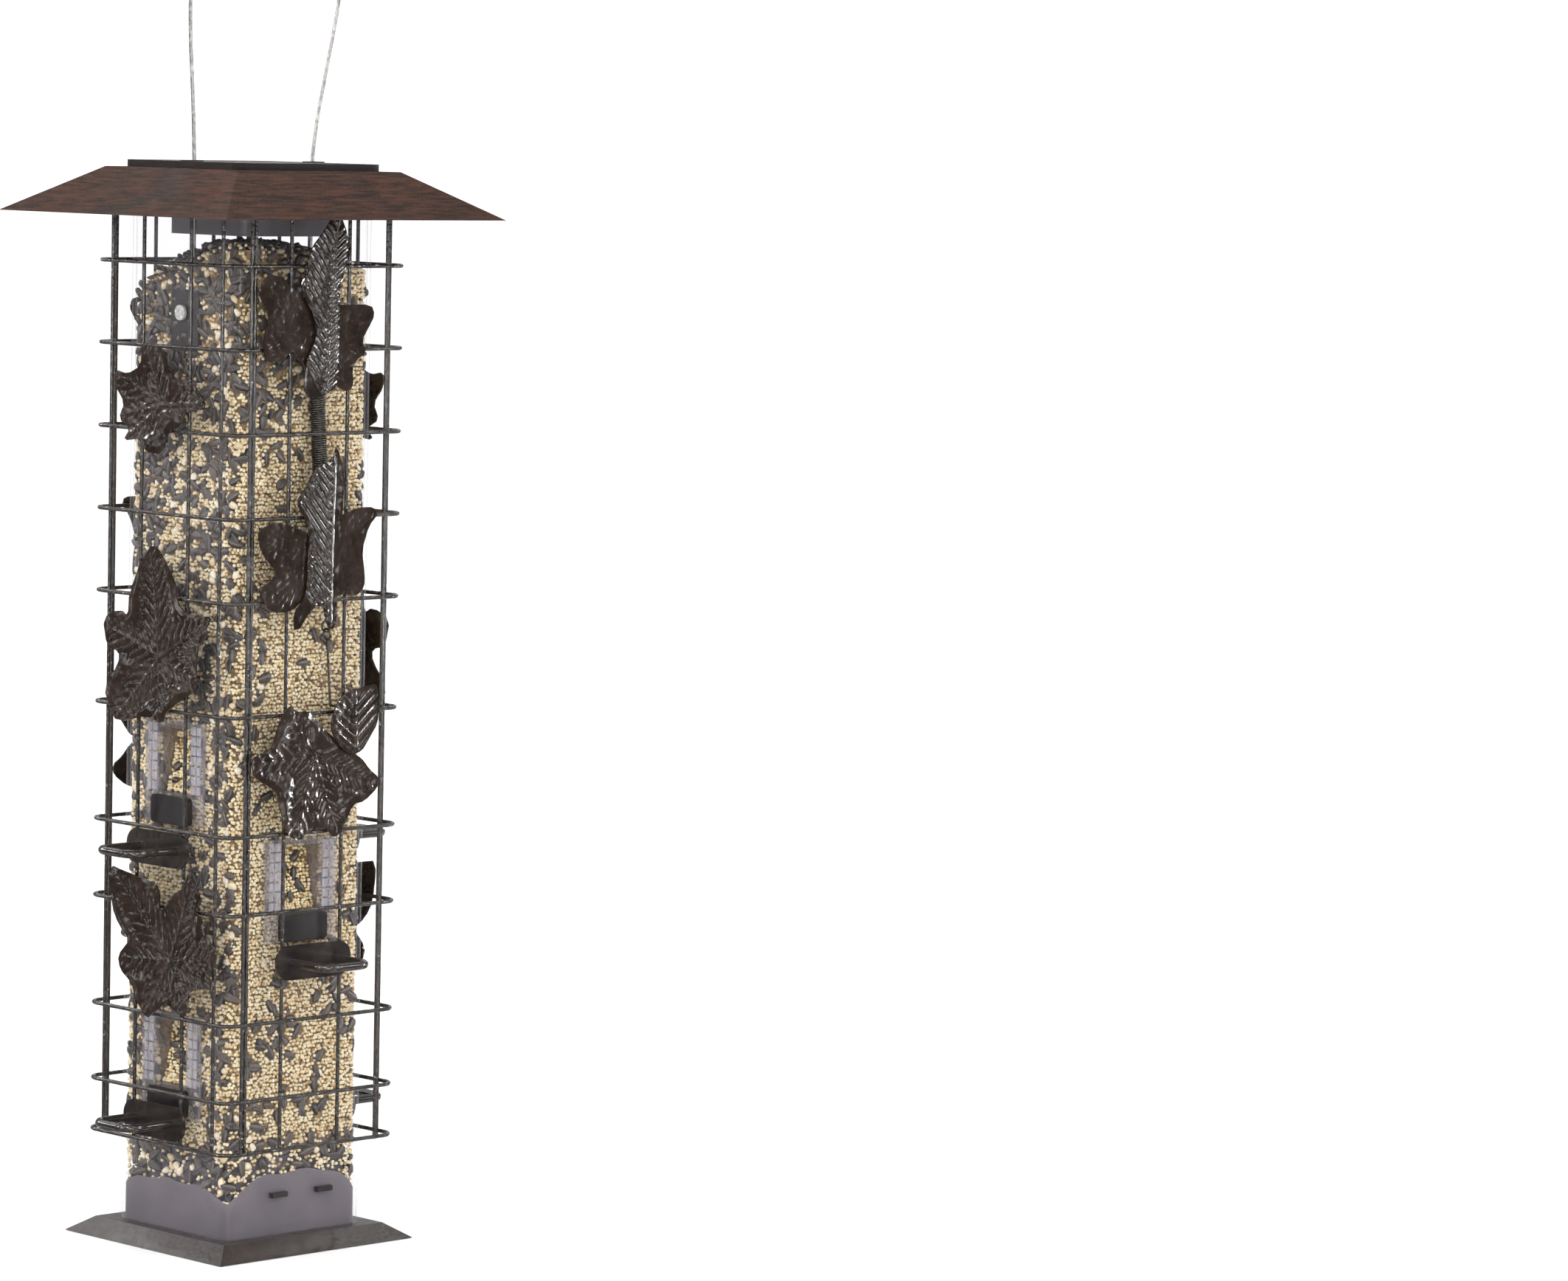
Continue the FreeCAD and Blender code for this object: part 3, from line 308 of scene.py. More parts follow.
LOOKS = {
    "roof": streaked_paint("roof_coat", srgb(80, 50, 37), srgb(36, 25, 19), (0.5, 0.7)),
    "cap": streaked_paint("cap_coat", srgb(40, 30, 27), srgb(24, 19, 18)),
    "base": hammered_paint("base_coat", srgb(56, 43, 37), srgb(30, 23, 20), 300.0, (0.25, 0.45), 0.0003, 0.3),
    "wire": hammered_paint("wire_coat", srgb(42, 32, 26), srgb(16, 12, 10), 560.0, (0.08, 0.2), 0.0015, 0.4),
    "leaf": hammered_paint("leaf_coat", srgb(50, 37, 29), srgb(25, 18, 14), 270.0, (0.1, 0.24), 0.0004, 0.35),
    "feather": hammered_paint("feather_coat", srgb(46, 34, 27), srgb(22, 16, 13), 260.0, (0.08, 0.18),
                              0.00012),
    "perch": hammered_paint("perch_coat", srgb(42, 33, 29), srgb(22, 17, 15), 240.0, (0.16, 0.3), 0.0002,
                            0.4),
    "cup": moulded_plastic("cup_plastic", srgb(102, 95, 101), srgb(86, 80, 86), (0.45, 0.6)),
    "collar": moulded_plastic("collar_plastic", srgb(98, 95, 98), srgb(74, 71, 74)),
    "latch": moulded_plastic("latch_plastic", srgb(44, 38, 40), srgb(26, 22, 24)),
    "sill": moulded_plastic("sill_plastic", srgb(46, 40, 41), srgb(26, 22, 23), (0.25, 0.4), 0.2),
    "rubber": moulded_plastic("grommet_rubber", srgb(40, 35, 33), srgb(22, 20, 19), (0.5, 0.7)),
    "screw": bare_metal("screw_steel", srgb(190, 188, 186), srgb(140, 138, 136)),
    "rivet": bare_metal("rivet_steel", srgb(226, 226, 224), srgb(176, 176, 174), (0.15, 0.3), metal=0.3),
    "bracket": bare_metal("bracket_steel", srgb(44, 37, 33), srgb(26, 22, 20), (0.35, 0.55), metal=0.2),
    "ferrule": bare_metal("ferrule_metal", srgb(178, 176, 172), srgb(128, 126, 122), (0.25, 0.45)),
    "spring": bare_metal("spring_steel", srgb(96, 94, 90), srgb(52, 50, 48), (0.25, 0.4), metal=0.9),
    "cable": bare_metal("cable_strands", srgb(176, 174, 172), srgb(104, 102, 100), (0.3, 0.45),
                        (600.0, 600.0, 350.0), 0.85),
    "tube": clear_plastic("tube_sheet", (0.985, 0.982, 0.985, 1.0), srgb(206, 203, 212), 0.015, 0.6, 0.05),
    "insert": clear_plastic("insert_sheet", (0.95, 0.945, 0.95, 1.0), srgb(188, 184, 190), 0.12, 0.6, 0.16,
                            0.4, 0.12),
    "rib": clear_plastic("rib_moulding", (0.93, 0.925, 0.94, 1.0), srgb(200, 197, 206), 0.34, 0.8, 0.14,
                         0.3, 0.2),
    "millet": seed_mix("millet_husk", MILLET_TONES),
    "sunflower": seed_mix("sunflower_husk", HUSK_TONES, True),
    "kernel": seed_mix("kernel_skin", KERNEL_TONES),
    "bed": packed_seed("packed_seed"),
}

# what the nodes whose names start so wear; the flat plates of the cage wear the last
WEARS = (
    ("roof_shell", "roof"), ("roof_cap", "cap"), ("roof_collar", "collar"), ("base_tray", "base"),
    ("base_plate", "base"), ("base_cup", "cup"), ("base_latches", "latch"), ("base_screws", "screw"),
    ("cage_wires", "wire"), ("cage_rings", "wire"), ("cage_spring", "spring"), ("spring_links", "spring"),
    ("spring_anchors", "bracket"), ("hanger_bracket", "bracket"), ("bracket_rivets", "rivet"),
    ("cable_grommets", "rubber"), ("cable_ferrules", "ferrule"), ("hanging_cable", "cable"),
    ("perch_", "perch"), ("port_sill", "sill"), ("port_insert", "insert"), ("seed_tube", "tube"),
    ("seed_fill", "bed"), ("", "leaf"),
)


def wear(obj, look):
    obj.data.materials.clear()
    obj.data.materials.append(LOOKS[look])


for name, node in NODES.items():
    wear(node, next(look for start, look in WEARS if name.startswith(start)))
wear(cable, "cable")


# -------- mesh helpers
def spun(turn):
    return np.array(Matrix.Rotation(math.radians(turn), 3, "Z"))


def add_mesh(name, points, faces, look, body="feeder", sharp=60.0, fields=None):
    """A mesh piece from points in metres, with faces as an array of triangles or a list of any faces."""
    mesh = bpy.data.meshes.new(name)
    points = np.asarray(points, np.float32)
    if isinstance(faces, np.ndarray):
        count, corners = faces.shape
        mesh.vertices.add(len(points))
        mesh.vertices.foreach_set("co", points.ravel())
        mesh.loops.add(count * corners)
        mesh.loops.foreach_set("vertex_index", faces.astype(np.int32).ravel())
        mesh.polygons.add(count)
        mesh.polygons.foreach_set("loop_start", np.arange(0, count * corners, corners, dtype=np.int32))
        mesh.update(calc_edges=True)
    else:
        mesh.from_pydata([tuple(p) for p in points.tolist()], [], faces)
    mesh.validate()
    mesh.shade_smooth()
    if sharp < 180.0:
        mesh.set_sharp_from_angle(angle=math.radians(sharp))
    for field, values in (fields or {}).items():
        mesh.attributes.new(field, "FLOAT", "POINT").data.foreach_set("value", np.asarray(values, np.float32))
    piece = bpy.data.objects.new(name, mesh)
    scene.collection.objects.link(piece)
    wear(piece, look)
    if body:
        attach(piece, body)
    return piece


def ring_faces(rings, around, joined=False):
    """Faces along a row of rings with a number of points around each. The row's ends are closed or joined."""
    faces = []
    for k in range(rings if joined else rings - 1):
        low, high = k * around, (k + 1) % rings * around
        for i in range(around):
            j = (i + 1) % around
            faces.append([low + i, low + j, high + j, high + i])
    if not joined:
        faces += [list(reversed(range(around))), [(rings - 1) * around + i for i in range(around)]]
    return faces


# -------- pressed leaves and butterflies
def plate_outline(node, turn):
    """The outline of a plate's outward face as (across, up) points in order, in metres."""
    mesh = NODES[node].data
    back = Matrix.Rotation(-math.radians(turn), 3, "Z")
    ahead = {}
    places = {}
    for polygon in mesh.polygons:
        if (back @ polygon.normal).y > -0.9:
            continue
        corners = [back @ mesh.vertices[i].co for i in polygon.vertices]
        if corners[0].y > 0:
            continue
        keys = [(round(c.x * 1e6), round(c.z * 1e6)) for c in corners]
        for key, corner in zip(keys, corners):
            places[key] = (corner.x, corner.z)
        for a, b in zip(keys, keys[1:] + keys[:1]):
            ahead.setdefault(a, []).append(b)
    inner = {(b, a) for a, ends in ahead.items() for b in ends}
    rim = {a: b for a, ends in ahead.items() for b in ends if (a, b) not in inner}
    start = key = next(iter(rim))
    loop = []
    while True:
        loop.append(places[key])
        key = rim[key]
        if key == start:
            break
    return np.array(loop)


def eased(loop, share=0.22):
    """Corners of a closed outline cut once, so that they read as small rounds."""
    after = np.roll(loop, -1, axis=0)
    return np.stack([loop + (after - loop) * share, after + (loop - after) * share], 1).reshape(-1, 2)


def stepped(loop, step):
    """A closed outline with points no further apart than step."""
    out = []
    for a, b in zip(loop, np.roll(loop, -1, axis=0)):
        parts = max(1, int(math.ceil(np.linalg.norm(b - a) / step)))
        out.extend(a + (b - a) * i / parts for i in range(parts))
    return np.array(out)


def gap_to(points, starts, ends):
    """Distance from each point to the nearest of some straight runs."""
    best = np.full(len(points), 1e9)
    for a, b in zip(starts, ends):
        d = b - a
        t = np.clip(((points - a) @ d) / max(d @ d, 1e-12), 0, 1)
        best = np.minimum(best, np.linalg.norm(points - a - t[:, None] * d, axis=1))
    return best


def lobe_tips(loop, hub, least):
    """Outline points that stand furthest out from the hub, one for each lobe."""
    beside, apart = 7, 0.006
    reach = np.linalg.norm(loop - hub, axis=1)
    tips = []
    for i, r in enumerate(reach):
        near = [reach[(i + k) % len(loop)] for k in range(-beside, beside + 1)]
        if r >= max(near) and r > least * reach.max():
            if not tips or np.linalg.norm(loop[i] - tips[-1]) > apart:
                tips.append(loop[i])
    return tips


def rotated(line, degrees):
    c, s = math.cos(math.radians(degrees)), math.sin(math.radians(degrees))
    return np.array([line[0] * c - line[1] * s, line[0] * s + line[1] * c])


def fan_veins(loop, hub, least):
    """Main veins from the hub to every lobe, each with side veins that get shorter towards the tip."""
    spacing, lean, longest = 0.007, 42, 0.3
    runs = []
    for tip in lobe_tips(loop, hub, least):
        line = tip - hub
        runs.append((hub, hub + line * 0.95))
        steps = max(2, int(np.linalg.norm(line) / spacing))
        for k in range(1, steps):
            foot = hub + line * (k / steps)
            for way in (-1, 1):
                runs.append((foot, foot + rotated(line, lean * way) * longest * (1 - 0.6 * k / steps)))
    return runs


def feather_veins(foot, tip, spacing, lean, reach, ways):
    """A midrib with close side veins that lean towards the tip."""
    line = tip - foot
    length = np.linalg.norm(line)
    runs = [(foot, tip)]
    for k in range(int(length / spacing)):
        start = foot + line * (k * spacing / length)
        for way in ways:
            runs.append((start, start + rotated(line, lean * way) / length * reach))
    return runs


def wing_veins(loop):
    """Veins from a narrow body out to evenly spaced points of both wings' edges."""
    count, body_half = 42, 0.003
    hub = middle_of(loop)
    wings = [p for p in loop[:: max(1, len(loop) // count)] if abs(p[0] - hub[0]) > 2 * body_half]
    return [(hub + np.array([math.copysign(body_half, p[0] - hub[0]), 0.0]), p) for p in wings]


def press(points, loop, runs, vein, width, pillow, spread, curl, dish):
    """How far a pressed sheet stands out at each point, in metres."""
    flat_rim, curl_reach, wave_scale, dent_scale, dent = 0.0035, 0.004, 55, 260, 0.00012
    edge = gap_to(points, loop, np.roll(loop, -1, axis=0))
    vein_gap = gap_to(points, [a for a, _ in runs], [b for _, b in runs])
    inside = np.clip(edge / flat_rim, 0, 1)
    rise = vein * np.exp(-((vein_gap / width) ** 2)) * inside
    rise += pillow * (1 - np.exp(-((vein_gap / spread) ** 2))) * inside
    wave = np.array([noise.noise(Vector((x * wave_scale, y * wave_scale, 3.7))) for x, y in points])
    rise += curl * np.exp(-edge / curl_reach) * np.clip(0.6 + 0.9 * wave, 0, 1.4)
    rise += dent * np.array([noise.noise(Vector((x * dent_scale, y * dent_scale, 9.1))) for x, y in points])
    half = (loop.max(0) - loop.min(0)) / 2
    rise += dish * np.clip((((points - middle_of(loop)) / half) ** 2).sum(1), 0, 1.5)
    return np.maximum(rise, 0.0)


def pressed_sheet(outline, relief, step, plane, thick):
    """Front, back and edge of a thin sheet with a relief. Returns (across, out, up) points and faces."""
    rim = stepped(outline, step)
    low, high = rim.min(0), rim.max(0)
    columns = np.arange(low[0] + step / 2, high[0], step)
    rows = np.arange(low[1] + step / 2, high[1], step * 0.87)
    grid = np.array([(x + (step / 2 if j % 2 else 0), y) for j, y in enumerate(rows) for x in columns])
    grid = grid[gap_to(grid, rim, np.roll(rim, -1, axis=0)) > step * 0.55]
    flat = np.vstack([rim, grid])
    edges = [(i, (i + 1) % len(rim)) for i in range(len(rim))]
    verts, _, faces, *_ = delaunay_2d_cdt([Vector(p) for p in flat.tolist()], edges, [], 1, 1e-7)
    flat = np.array([tuple(v) for v in verts])
    used = sorted({i for f in faces for i in f})
    order = {v: i for i, v in enumerate(used)}
    flat = flat[used]
    faces = [[order[i] for i in f] for f in faces]
    rise = relief(flat)
    count = len(flat)
    front = np.column_stack([flat[:, 0], plane + thick + rise, flat[:, 1]])
    rear = np.column_stack([flat[:, 0], plane + rise, flat[:, 1]])
    seen = {(a, b) for f in faces for a, b in zip(f, f[1:] + f[:1])}
    shell = [list(f) for f in faces] + [[i + count for i in reversed(f)] for f in faces]
    shell += [[b, a, a + count, b + count] for a, b in seen if (b, a) not in seen]
    return np.vstack([front, rear]), shell


def plate_node(kind, side):
    return "oval_leaves" if kind == "oval_leaf" else "%s_%s" % (kind, side)


def make_plate(kind, sides, runs_of, *relief):
    """A pressed plate in place of each flat one of its kind, shaped on the first of its sides."""
    fine = "feather" in kind or kind == "oval_leaf"
    step, lift, thick = (0.9 if fine else 1.3) * MM, (0.8 if fine else 0.0) * MM, 0.9 * MM
    node = plate_node(kind, sides[0])
    axis = 1 if sides[0] == "front" else 0
    plane = min(abs(v.co[axis]) for v in NODES[node].data.vertices)
    outline = eased(plate_outline(node, TURNS[sides[0]]))
    loop = stepped(outline, 0.002)
    runs = runs_of(loop)
    sizes = [number * MM for number in relief]
    points, faces = pressed_sheet(outline, lambda p: press(p, loop, runs, *sizes), step, plane + lift, thick)
    for side in sides:
        placed = (points * (1, -1, 1)) @ spun(TURNS[side]).T
        look = "feather" if "feather" in kind else "leaf"
        piece = add_mesh("pressed_%s_%s" % (kind, side), placed, faces, look, "cage", 70.0)
        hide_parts(plate_node(kind, side))


def middle_of(loop, across=0.0, up=0.0):
    """The middle of an outline's box, or a place given in half widths and half heights from it."""
    low, high = loop.min(0), loop.max(0)
    return (low + high) / 2 + np.array([across, up]) * (high - low) / 2


def fan(across, up, least):
    return lambda loop: fan_veins(loop, middle_of(loop, across, up), least)


def feather(foot, tip, *sizes, ways=(-1, 1)):
    return lambda loop: feather_veins(middle_of(loop, *foot), middle_of(loop, *tip), *sizes, ways)


FLANKS, ENDS = ("left", "right"), ("front", "back")
# kind, sides, veins, then vein height and width, pillow height and spread, edge curl and dish, in mm
for plate in (
        ("small_leaf", FLANKS, fan(0.0, -0.1, 0.45), 0.9, 0.8, 0.9, 3.0, 1.0, 1.6),
        ("maple_leaf", FLANKS, fan(0.0, -0.25, 0.4), 1.0, 0.9, 1.1, 3.2, 1.2, 2.0),
        ("broad_leaf", FLANKS, fan(0.1, -0.2, 0.45), 0.9, 0.9, 1.0, 3.2, 1.2, 2.0),
        ("butterfly_upper", ENDS, wing_veins, 0.5, 0.7, 0.5, 2.2, 0.5, 0.8),
        ("butterfly_lower", ENDS, wing_veins, 0.5, 0.7, 0.5, 2.2, 0.5, 0.8),
        ("feather_leaf_upper", ("front",), feather((0.1, -0.95), (0.55, 0.95), 0.0052, 42, 0.03),
         1.6, 1.1, 0.2, 1.8, 0.8, 1.0),
        ("feather_leaf_lower", ENDS, feather((0.5, -0.95), (0.6, 0.95), 0.0054, 42, 0.034, ways=(1,)),
         1.6, 1.1, 0.2, 1.8, 0.8, 1.0),
        ("vine_leaf", ENDS, fan(0.0, 0.25, 0.45), 0.9, 0.9, 1.0, 3.0, 1.1, 1.8),
        ("oval_leaf", ENDS, feather((0.1, -0.9), (0.0, 0.9), 0.006, 50, 0.02), 0.8, 0.8, 0.6, 2.4, 0.8, 0.9)):
    make_plate(*plate)


# -------- seed
def icosahedron():
    """A rounded grain: points on a unit ball and triangles between neighbours."""
    golden = (1 + math.sqrt(5)) / 2
    card = np.array([(-1, golden, 0), (1, golden, 0), (-1, -golden, 0), (1, -golden, 0)])
    points = np.vstack([np.roll(card, shift, axis=1) for shift in range(3)]) / math.hypot(1, golden)
    faces = []
    for a in range(12):
        for b in range(a + 1, 12):
            for c in range(b + 1, 12):
                sides = [np.linalg.norm(points[i] - points[j]) for i, j in ((a, b), (b, c), (a, c))]
                if max(sides) < 1.1:
                    out = np.cross(points[b] - points[a], points[c] - points[a]) @ points[a]
                    faces.append((a, b, c) if out > 0 else (a, c, b))
    return points, np.array(faces)


def teardrop(around=8, along=6):
    """A seed shape, pointed at one end: points, triangles and the angle of each point."""
    points, angles = [(0, 0, -1.0)], [0.0]
    for j in range(1, along):
        t = j / along
        z = -math.cos(math.pi * t)
        r = math.sin(math.pi * t) ** 0.8 * (1 - 0.35 * z)
        for i in range(around):
            a = 2 * math.pi * i / around
            points.append((r * math.cos(a), r * math.sin(a), z))
            angles.append(a / (2 * math.pi))
    points.append((0, 0, 1.0))
    angles.append(0.0)
    faces = []
    last = len(points) - 1
    for i in range(around):
        k = (i + 1) % around
        faces.append((0, 1 + k, 1 + i))
        faces.append((last, last - around + i, last - around + k))
        for j in range(along - 2):
            a, b = 1 + j * around + i, 1 + j * around + k
            faces += [(a, b, b + around), (a, b + around, a + around)]
    return np.array(points), np.array(faces), np.array(angles)


def random_turns(count, lean=None, normals=None):
    """Rotation matrices. With normals, the short axis (x) points along them, tipped at random by lean."""
    q = random_numbers.normal(size=(count, 4))
    q /= np.linalg.norm(q, axis=1)[:, None]
    w, x, y, z = q.T
    free = np.stack([
        np.stack([1 - 2 * (y * y + z * z), 2 * (x * y - z * w), 2 * (x * z + y * w)], 1),
        np.stack([2 * (x * y + z * w), 1 - 2 * (x * x + z * z), 2 * (y * z - x * w)], 1),
        np.stack([2 * (x * z - y * w), 2 * (y * z + x * w), 1 - 2 * (x * x + y * y)], 1)], 1)
    if normals is None:
        return free
    first = normals + random_numbers.normal(size=(count, 3)) * lean
    first /= np.linalg.norm(first, axis=1)[:, None]
    second = np.cross(first, free[:, :, 2])
    second /= np.linalg.norm(second, axis=1)[:, None]
    third = np.cross(first, second)
    return np.stack([first, second, third], 2)


def strew(name, shape, centres, sizes, turns, look, tones):
    """One mesh of many grains. shape is (points, faces[, angles])."""
    points, faces = shape[0], shape[1]
    count, each = len(centres), len(points)
    if not count:
        return
    placed = np.einsum("nij,nkj->nki", turns, points[None] * sizes[:, None, :]) + centres[:, None, :]
    indices = faces[None] + (np.arange(count) * each)[:, None, None]
    fields = {"tone": np.repeat(tones, each)}
    if len(shape) > 2:
        fields["around"] = np.tile(shape[2], count)
    add_mesh(name, placed.reshape(-1, 3), indices.reshape(-1, 3), look, "feeder", 180.0, fields)


# all sizes and places of seed are in mm
WALL_HALF, WALL_ROUND = 46.5, 5.5      # the rounded square that the outer grains' centres lie on
SEED_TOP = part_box("seed_fill")[1].z / MM - 17.0
HEAP_TOP = SEED_TOP + 15.0
# how high the loose seed lies at the corners: left front and left back, right front and right back
CORNER_LEVELS = ((SEED_TOP + 15.0, SEED_TOP - 9.0), (SEED_TOP + 1.0, SEED_TOP - 7.0))
PORT_BOXES = {n[len("port_insert_"):]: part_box(n) for n in NODES if n.startswith("port_insert_")}
PORT_BELOW = 16.5                      # from the foot of a port insert up to its sill
CUP_TOP = 62.0                         # below this the cup's rim thins the seed out


def ease(t):
    t = np.clip(t, 0, 1)
    return t * t * (3 - 2 * t)


def seed_level(x, y):
    """Height of the loose seed over a place in the tube: a heap that lies highest at one corner."""
    a, b = (ease((v + WALL_HALF) / (2 * WALL_HALF)) for v in (x, y))
    (left_front, left_back), (right_front, right_back) = CORNER_LEVELS
    wall = (left_front * (1 - a) + right_front * a) * (1 - b) + (left_back * (1 - a) + right_back * a) * b
    slope_start, slope_run = 43.0, 30.0
    inwards = np.clip((slope_start - np.maximum(np.abs(x), np.abs(y))) / slope_run, 0, 1)
    return wall + (HEAP_TOP - wall) * inwards ** 0.7


def wall_level(side, u):
    """The seed's height against the tube, at a place across a face."""
    places = np.column_stack([u, np.full(len(u), -WALL_HALF)]) @ spun(TURNS[side])[:2, :2].T
    return seed_level(places[:, 0], places[:, 1])


def cup_edge(u, side):
    """Height of the grey cup's rim at a place across a face: an arch that drops at the corners."""
    low, high = 28.0, 43.0 if side in ENDS else 36.0
    share = np.clip(np.abs(u) / WALL_HALF, 0, 1)
    return low + (high - low) * (1 - share ** 3.5) + 0.8 * np.sin(u * 0.21)


def side_points(spacing, low, high, jitter):
    """Places on one face, across and up, in staggered rows."""
    across = np.arange(-WALL_HALF - 1.2, WALL_HALF + 1.2, spacing)
    u, v = (g.ravel() for g in np.meshgrid(across, np.arange(low, high, spacing)))
    u = u + np.where(np.round((v - low) / spacing) % 2 == 1, spacing / 2, 0.0)
    u = u + draw(-jitter, jitter, len(u)) * spacing
    v = v + draw(-jitter, jitter, len(v)) * spacing
    return u, v


def on_side(u, depth=0.0):
    """Place across and outwards of a point u along a face, its normal, and whether it's on this face."""
    straight = WALL_HALF - WALL_ROUND
    past = np.clip(np.abs(u) - straight, 0, None)
    angle = np.clip(past / WALL_ROUND, 0, math.pi / 4)
    sign = np.sign(u)
    radius = WALL_ROUND - depth
    across = np.where(past > 0, sign * (straight + radius * np.sin(angle)), u)
    out = np.where(past > 0, straight + radius * np.cos(angle), WALL_HALF - depth)
    normal = np.column_stack([sign * np.sin(angle), -np.cos(angle), np.zeros(len(u))])
    return across, out, normal, past <= WALL_ROUND * math.pi / 4


def sill_heights(side):
    return [box[0].z / MM + PORT_BELOW for name, box in PORT_BOXES.items() if name.split("_")[0] == side]


def cleared(side, u, v):
    """True where no port tunnel stands in the seed."""
    half_width, below, above = 16.2, 2.6, 40.6
    keep = np.ones(len(u), bool)
    for sill in sill_heights(side):
        keep &= ~((np.abs(u) < half_width) & (v > sill - below) & (v < sill + above))
    return keep


# how much of each face the large seeds take, and the height above which they lie thickest
RICHNESS = {"front": 0.08, "left": 0.56, "right": 0.3, "back": 0.34}
HUSK_LINE = {"front": 506.0, "left": 494.0, "right": 520.0, "back": 490.0}


def husk_line(side, u):
    """The height above which the large seeds lie thickest, across a face."""
    line = HUSK_LINE[side] + 14 * np.sin(u * 0.09)
    return line + 60.0 * ease((u - 8.0) / 22.0) if side == "front" else line


def big_seed_share(side, u, v):
    """The chance of a large seed at each place: clumps on every face, and richer bands where layers show."""
    clumps = np.array([noise.noise(Vector((a * 0.045 + TURNS[side], b * 0.03, 1.3))) for a, b in zip(u, v)])
    share = RICHNESS[side] * np.clip(1.0 + 2.6 * clumps, 0.0, 2.6)
    line = husk_line(side, u)
    share = np.where(v > line, 1.0, np.where(v > line - 30, np.maximum(share, 0.45), share))
    if side == "left":
        dark_band = (v > 335) & (v < 455)
        share = np.where(dark_band, np.clip(share + 0.45, 0, 0.95), share)
    if side == "front":
        foot_band, left_strip = (v < 165) & (v > CUP_TOP), (u < -22) & (v > 180)
        share = np.where(foot_band, np.clip(share * 3.6, 0, 0.75), share)
        share = np.where(left_strip, np.clip(share * 2.4, 0, 0.6), share)
    return np.where(v < CUP_TOP, np.maximum(share, 0.6 if side == "left" else 0.4), share)


def large_seed_sizes(kernel):
    """Half sizes of large seeds: long husks, or rounder shelled kernels where kernel is true."""
    count, shelled = len(kernel), kernel.sum()
    half = np.column_stack([np.full(count, 1.5), draw(2.1, 2.9, count), draw(4.0, 5.4, count)])
    rounder = [draw(low, high, shelled) for low, high in ((1.5, 1.9), (1.7, 2.4), (2.0, 3.2))]
    half[kernel] = np.column_stack(rounder)
    return half


def millet_share(side, u, v):
    """The chance of a millet grain: all of them, but fewer among the top husks and near the cup's rim."""
    rim, left = cup_edge(u, side), side == "left"
    share = np.clip((v - rim) / (CUP_TOP - rim), 0, 1) * (0.5 if left else 0.3) + (0.25 if left else 0.45)
    share = np.where(v < rim, 0.45 * np.exp(-np.clip(rim - v, 0, None) / 2.5), share)
    share = np.where(v >= CUP_TOP, 1.0, share)
    return np.where(v > husk_line(side, u), 0.4, share)


def covered(u, v, seeds, ways, sizes):
    """True where a small grain would lie inside one of the large seeds, seen straight on."""
    hidden = np.zeros(len(u), bool)
    reach, gap = 6, 0.2
    for (a, b), way, size in zip(seeds, ways, sizes):
        near = np.flatnonzero((np.abs(u - a) < reach) & (np.abs(v - b) < reach))
        apart = np.column_stack([u[near] - a, v[near] - b])
        along, beside = apart @ way, apart @ np.array([-way[1], way[0]])
        hidden[near] |= (along / (size[2] + gap)) ** 2 + (beside / (size[1] + gap)) ** 2 < 1
    return hidden


def fill_side(side):
    """Grains against one wall of the tube: large seeds first, then millet in what is left."""
    turn = spun(TURNS[side])
    u, v = side_points(6.0, 30.0, HEAP_TOP, 0.45)
    keep = cleared(side, u, v) & (v > cup_edge(u, side) + 2) & (np.abs(u) < WALL_HALF + 0.5)
    keep &= v < wall_level(side, u) - 2.0
    keep &= chance(len(u)) < big_seed_share(side, u, v)
    u, v = u[keep], v[keep]
    kernel = chance(len(u)) > np.where(v > 478, 0.8, 0.7 if side == "left" else 0.8)
    half = large_seed_sizes(kernel)
    across, out, normal, _ = on_side(u, 0.35)
    turns = random_turns(len(u), 0.22, normal)
    tones = chance(len(u))
    placed = np.column_stack([across, -out, v]) @ turn.T * MM
    facing = np.einsum("ij,njk->nik", turn, turns)
    for kind, shape, look, some in (("sunflower_", teardrop(), "sunflower", ~kernel),
                                    ("kernels_", teardrop(7, 5), "kernel", kernel)):
        strew(kind + side, shape, placed[some], half[some] * MM, facing[some], look, tones[some])

    seeds, ways = np.column_stack([u, v]), turns[:, ::2, 2]
    ways = ways / (np.linalg.norm(ways, axis=1)[:, None] + 1e-9)
    u, v = side_points(2.12, 22.0, HEAP_TOP, 0.3)
    keep = on_side(u)[3] & cleared(side, u, v) & (chance(len(u)) < millet_share(side, u, v))
    keep &= v < wall_level(side, u)
    u, v = u[keep], v[keep]
    keep = ~covered(u, v, seeds, ways, half)
    u, v = u[keep], v[keep]
    across, out, _, _ = on_side(u)
    count = len(u)
    centres = (np.column_stack([across, -(out + draw(-0.35, 0.15, count)), v]) @ turn.T) * MM
    sizes = draw(1.0, 1.28, (count, 1)) * np.array([[0.88, 1.02, 1.14]]) * MM
    tones = chance(count) ** 1.25
    turns = random_turns(count)
    for part, some in (("low", v < 290), ("high", v >= 290)):
        name = "millet_%s_%s" % (side, part)
        strew(name, icosahedron(), centres[some], sizes[some], turns[some], "millet", tones[some])


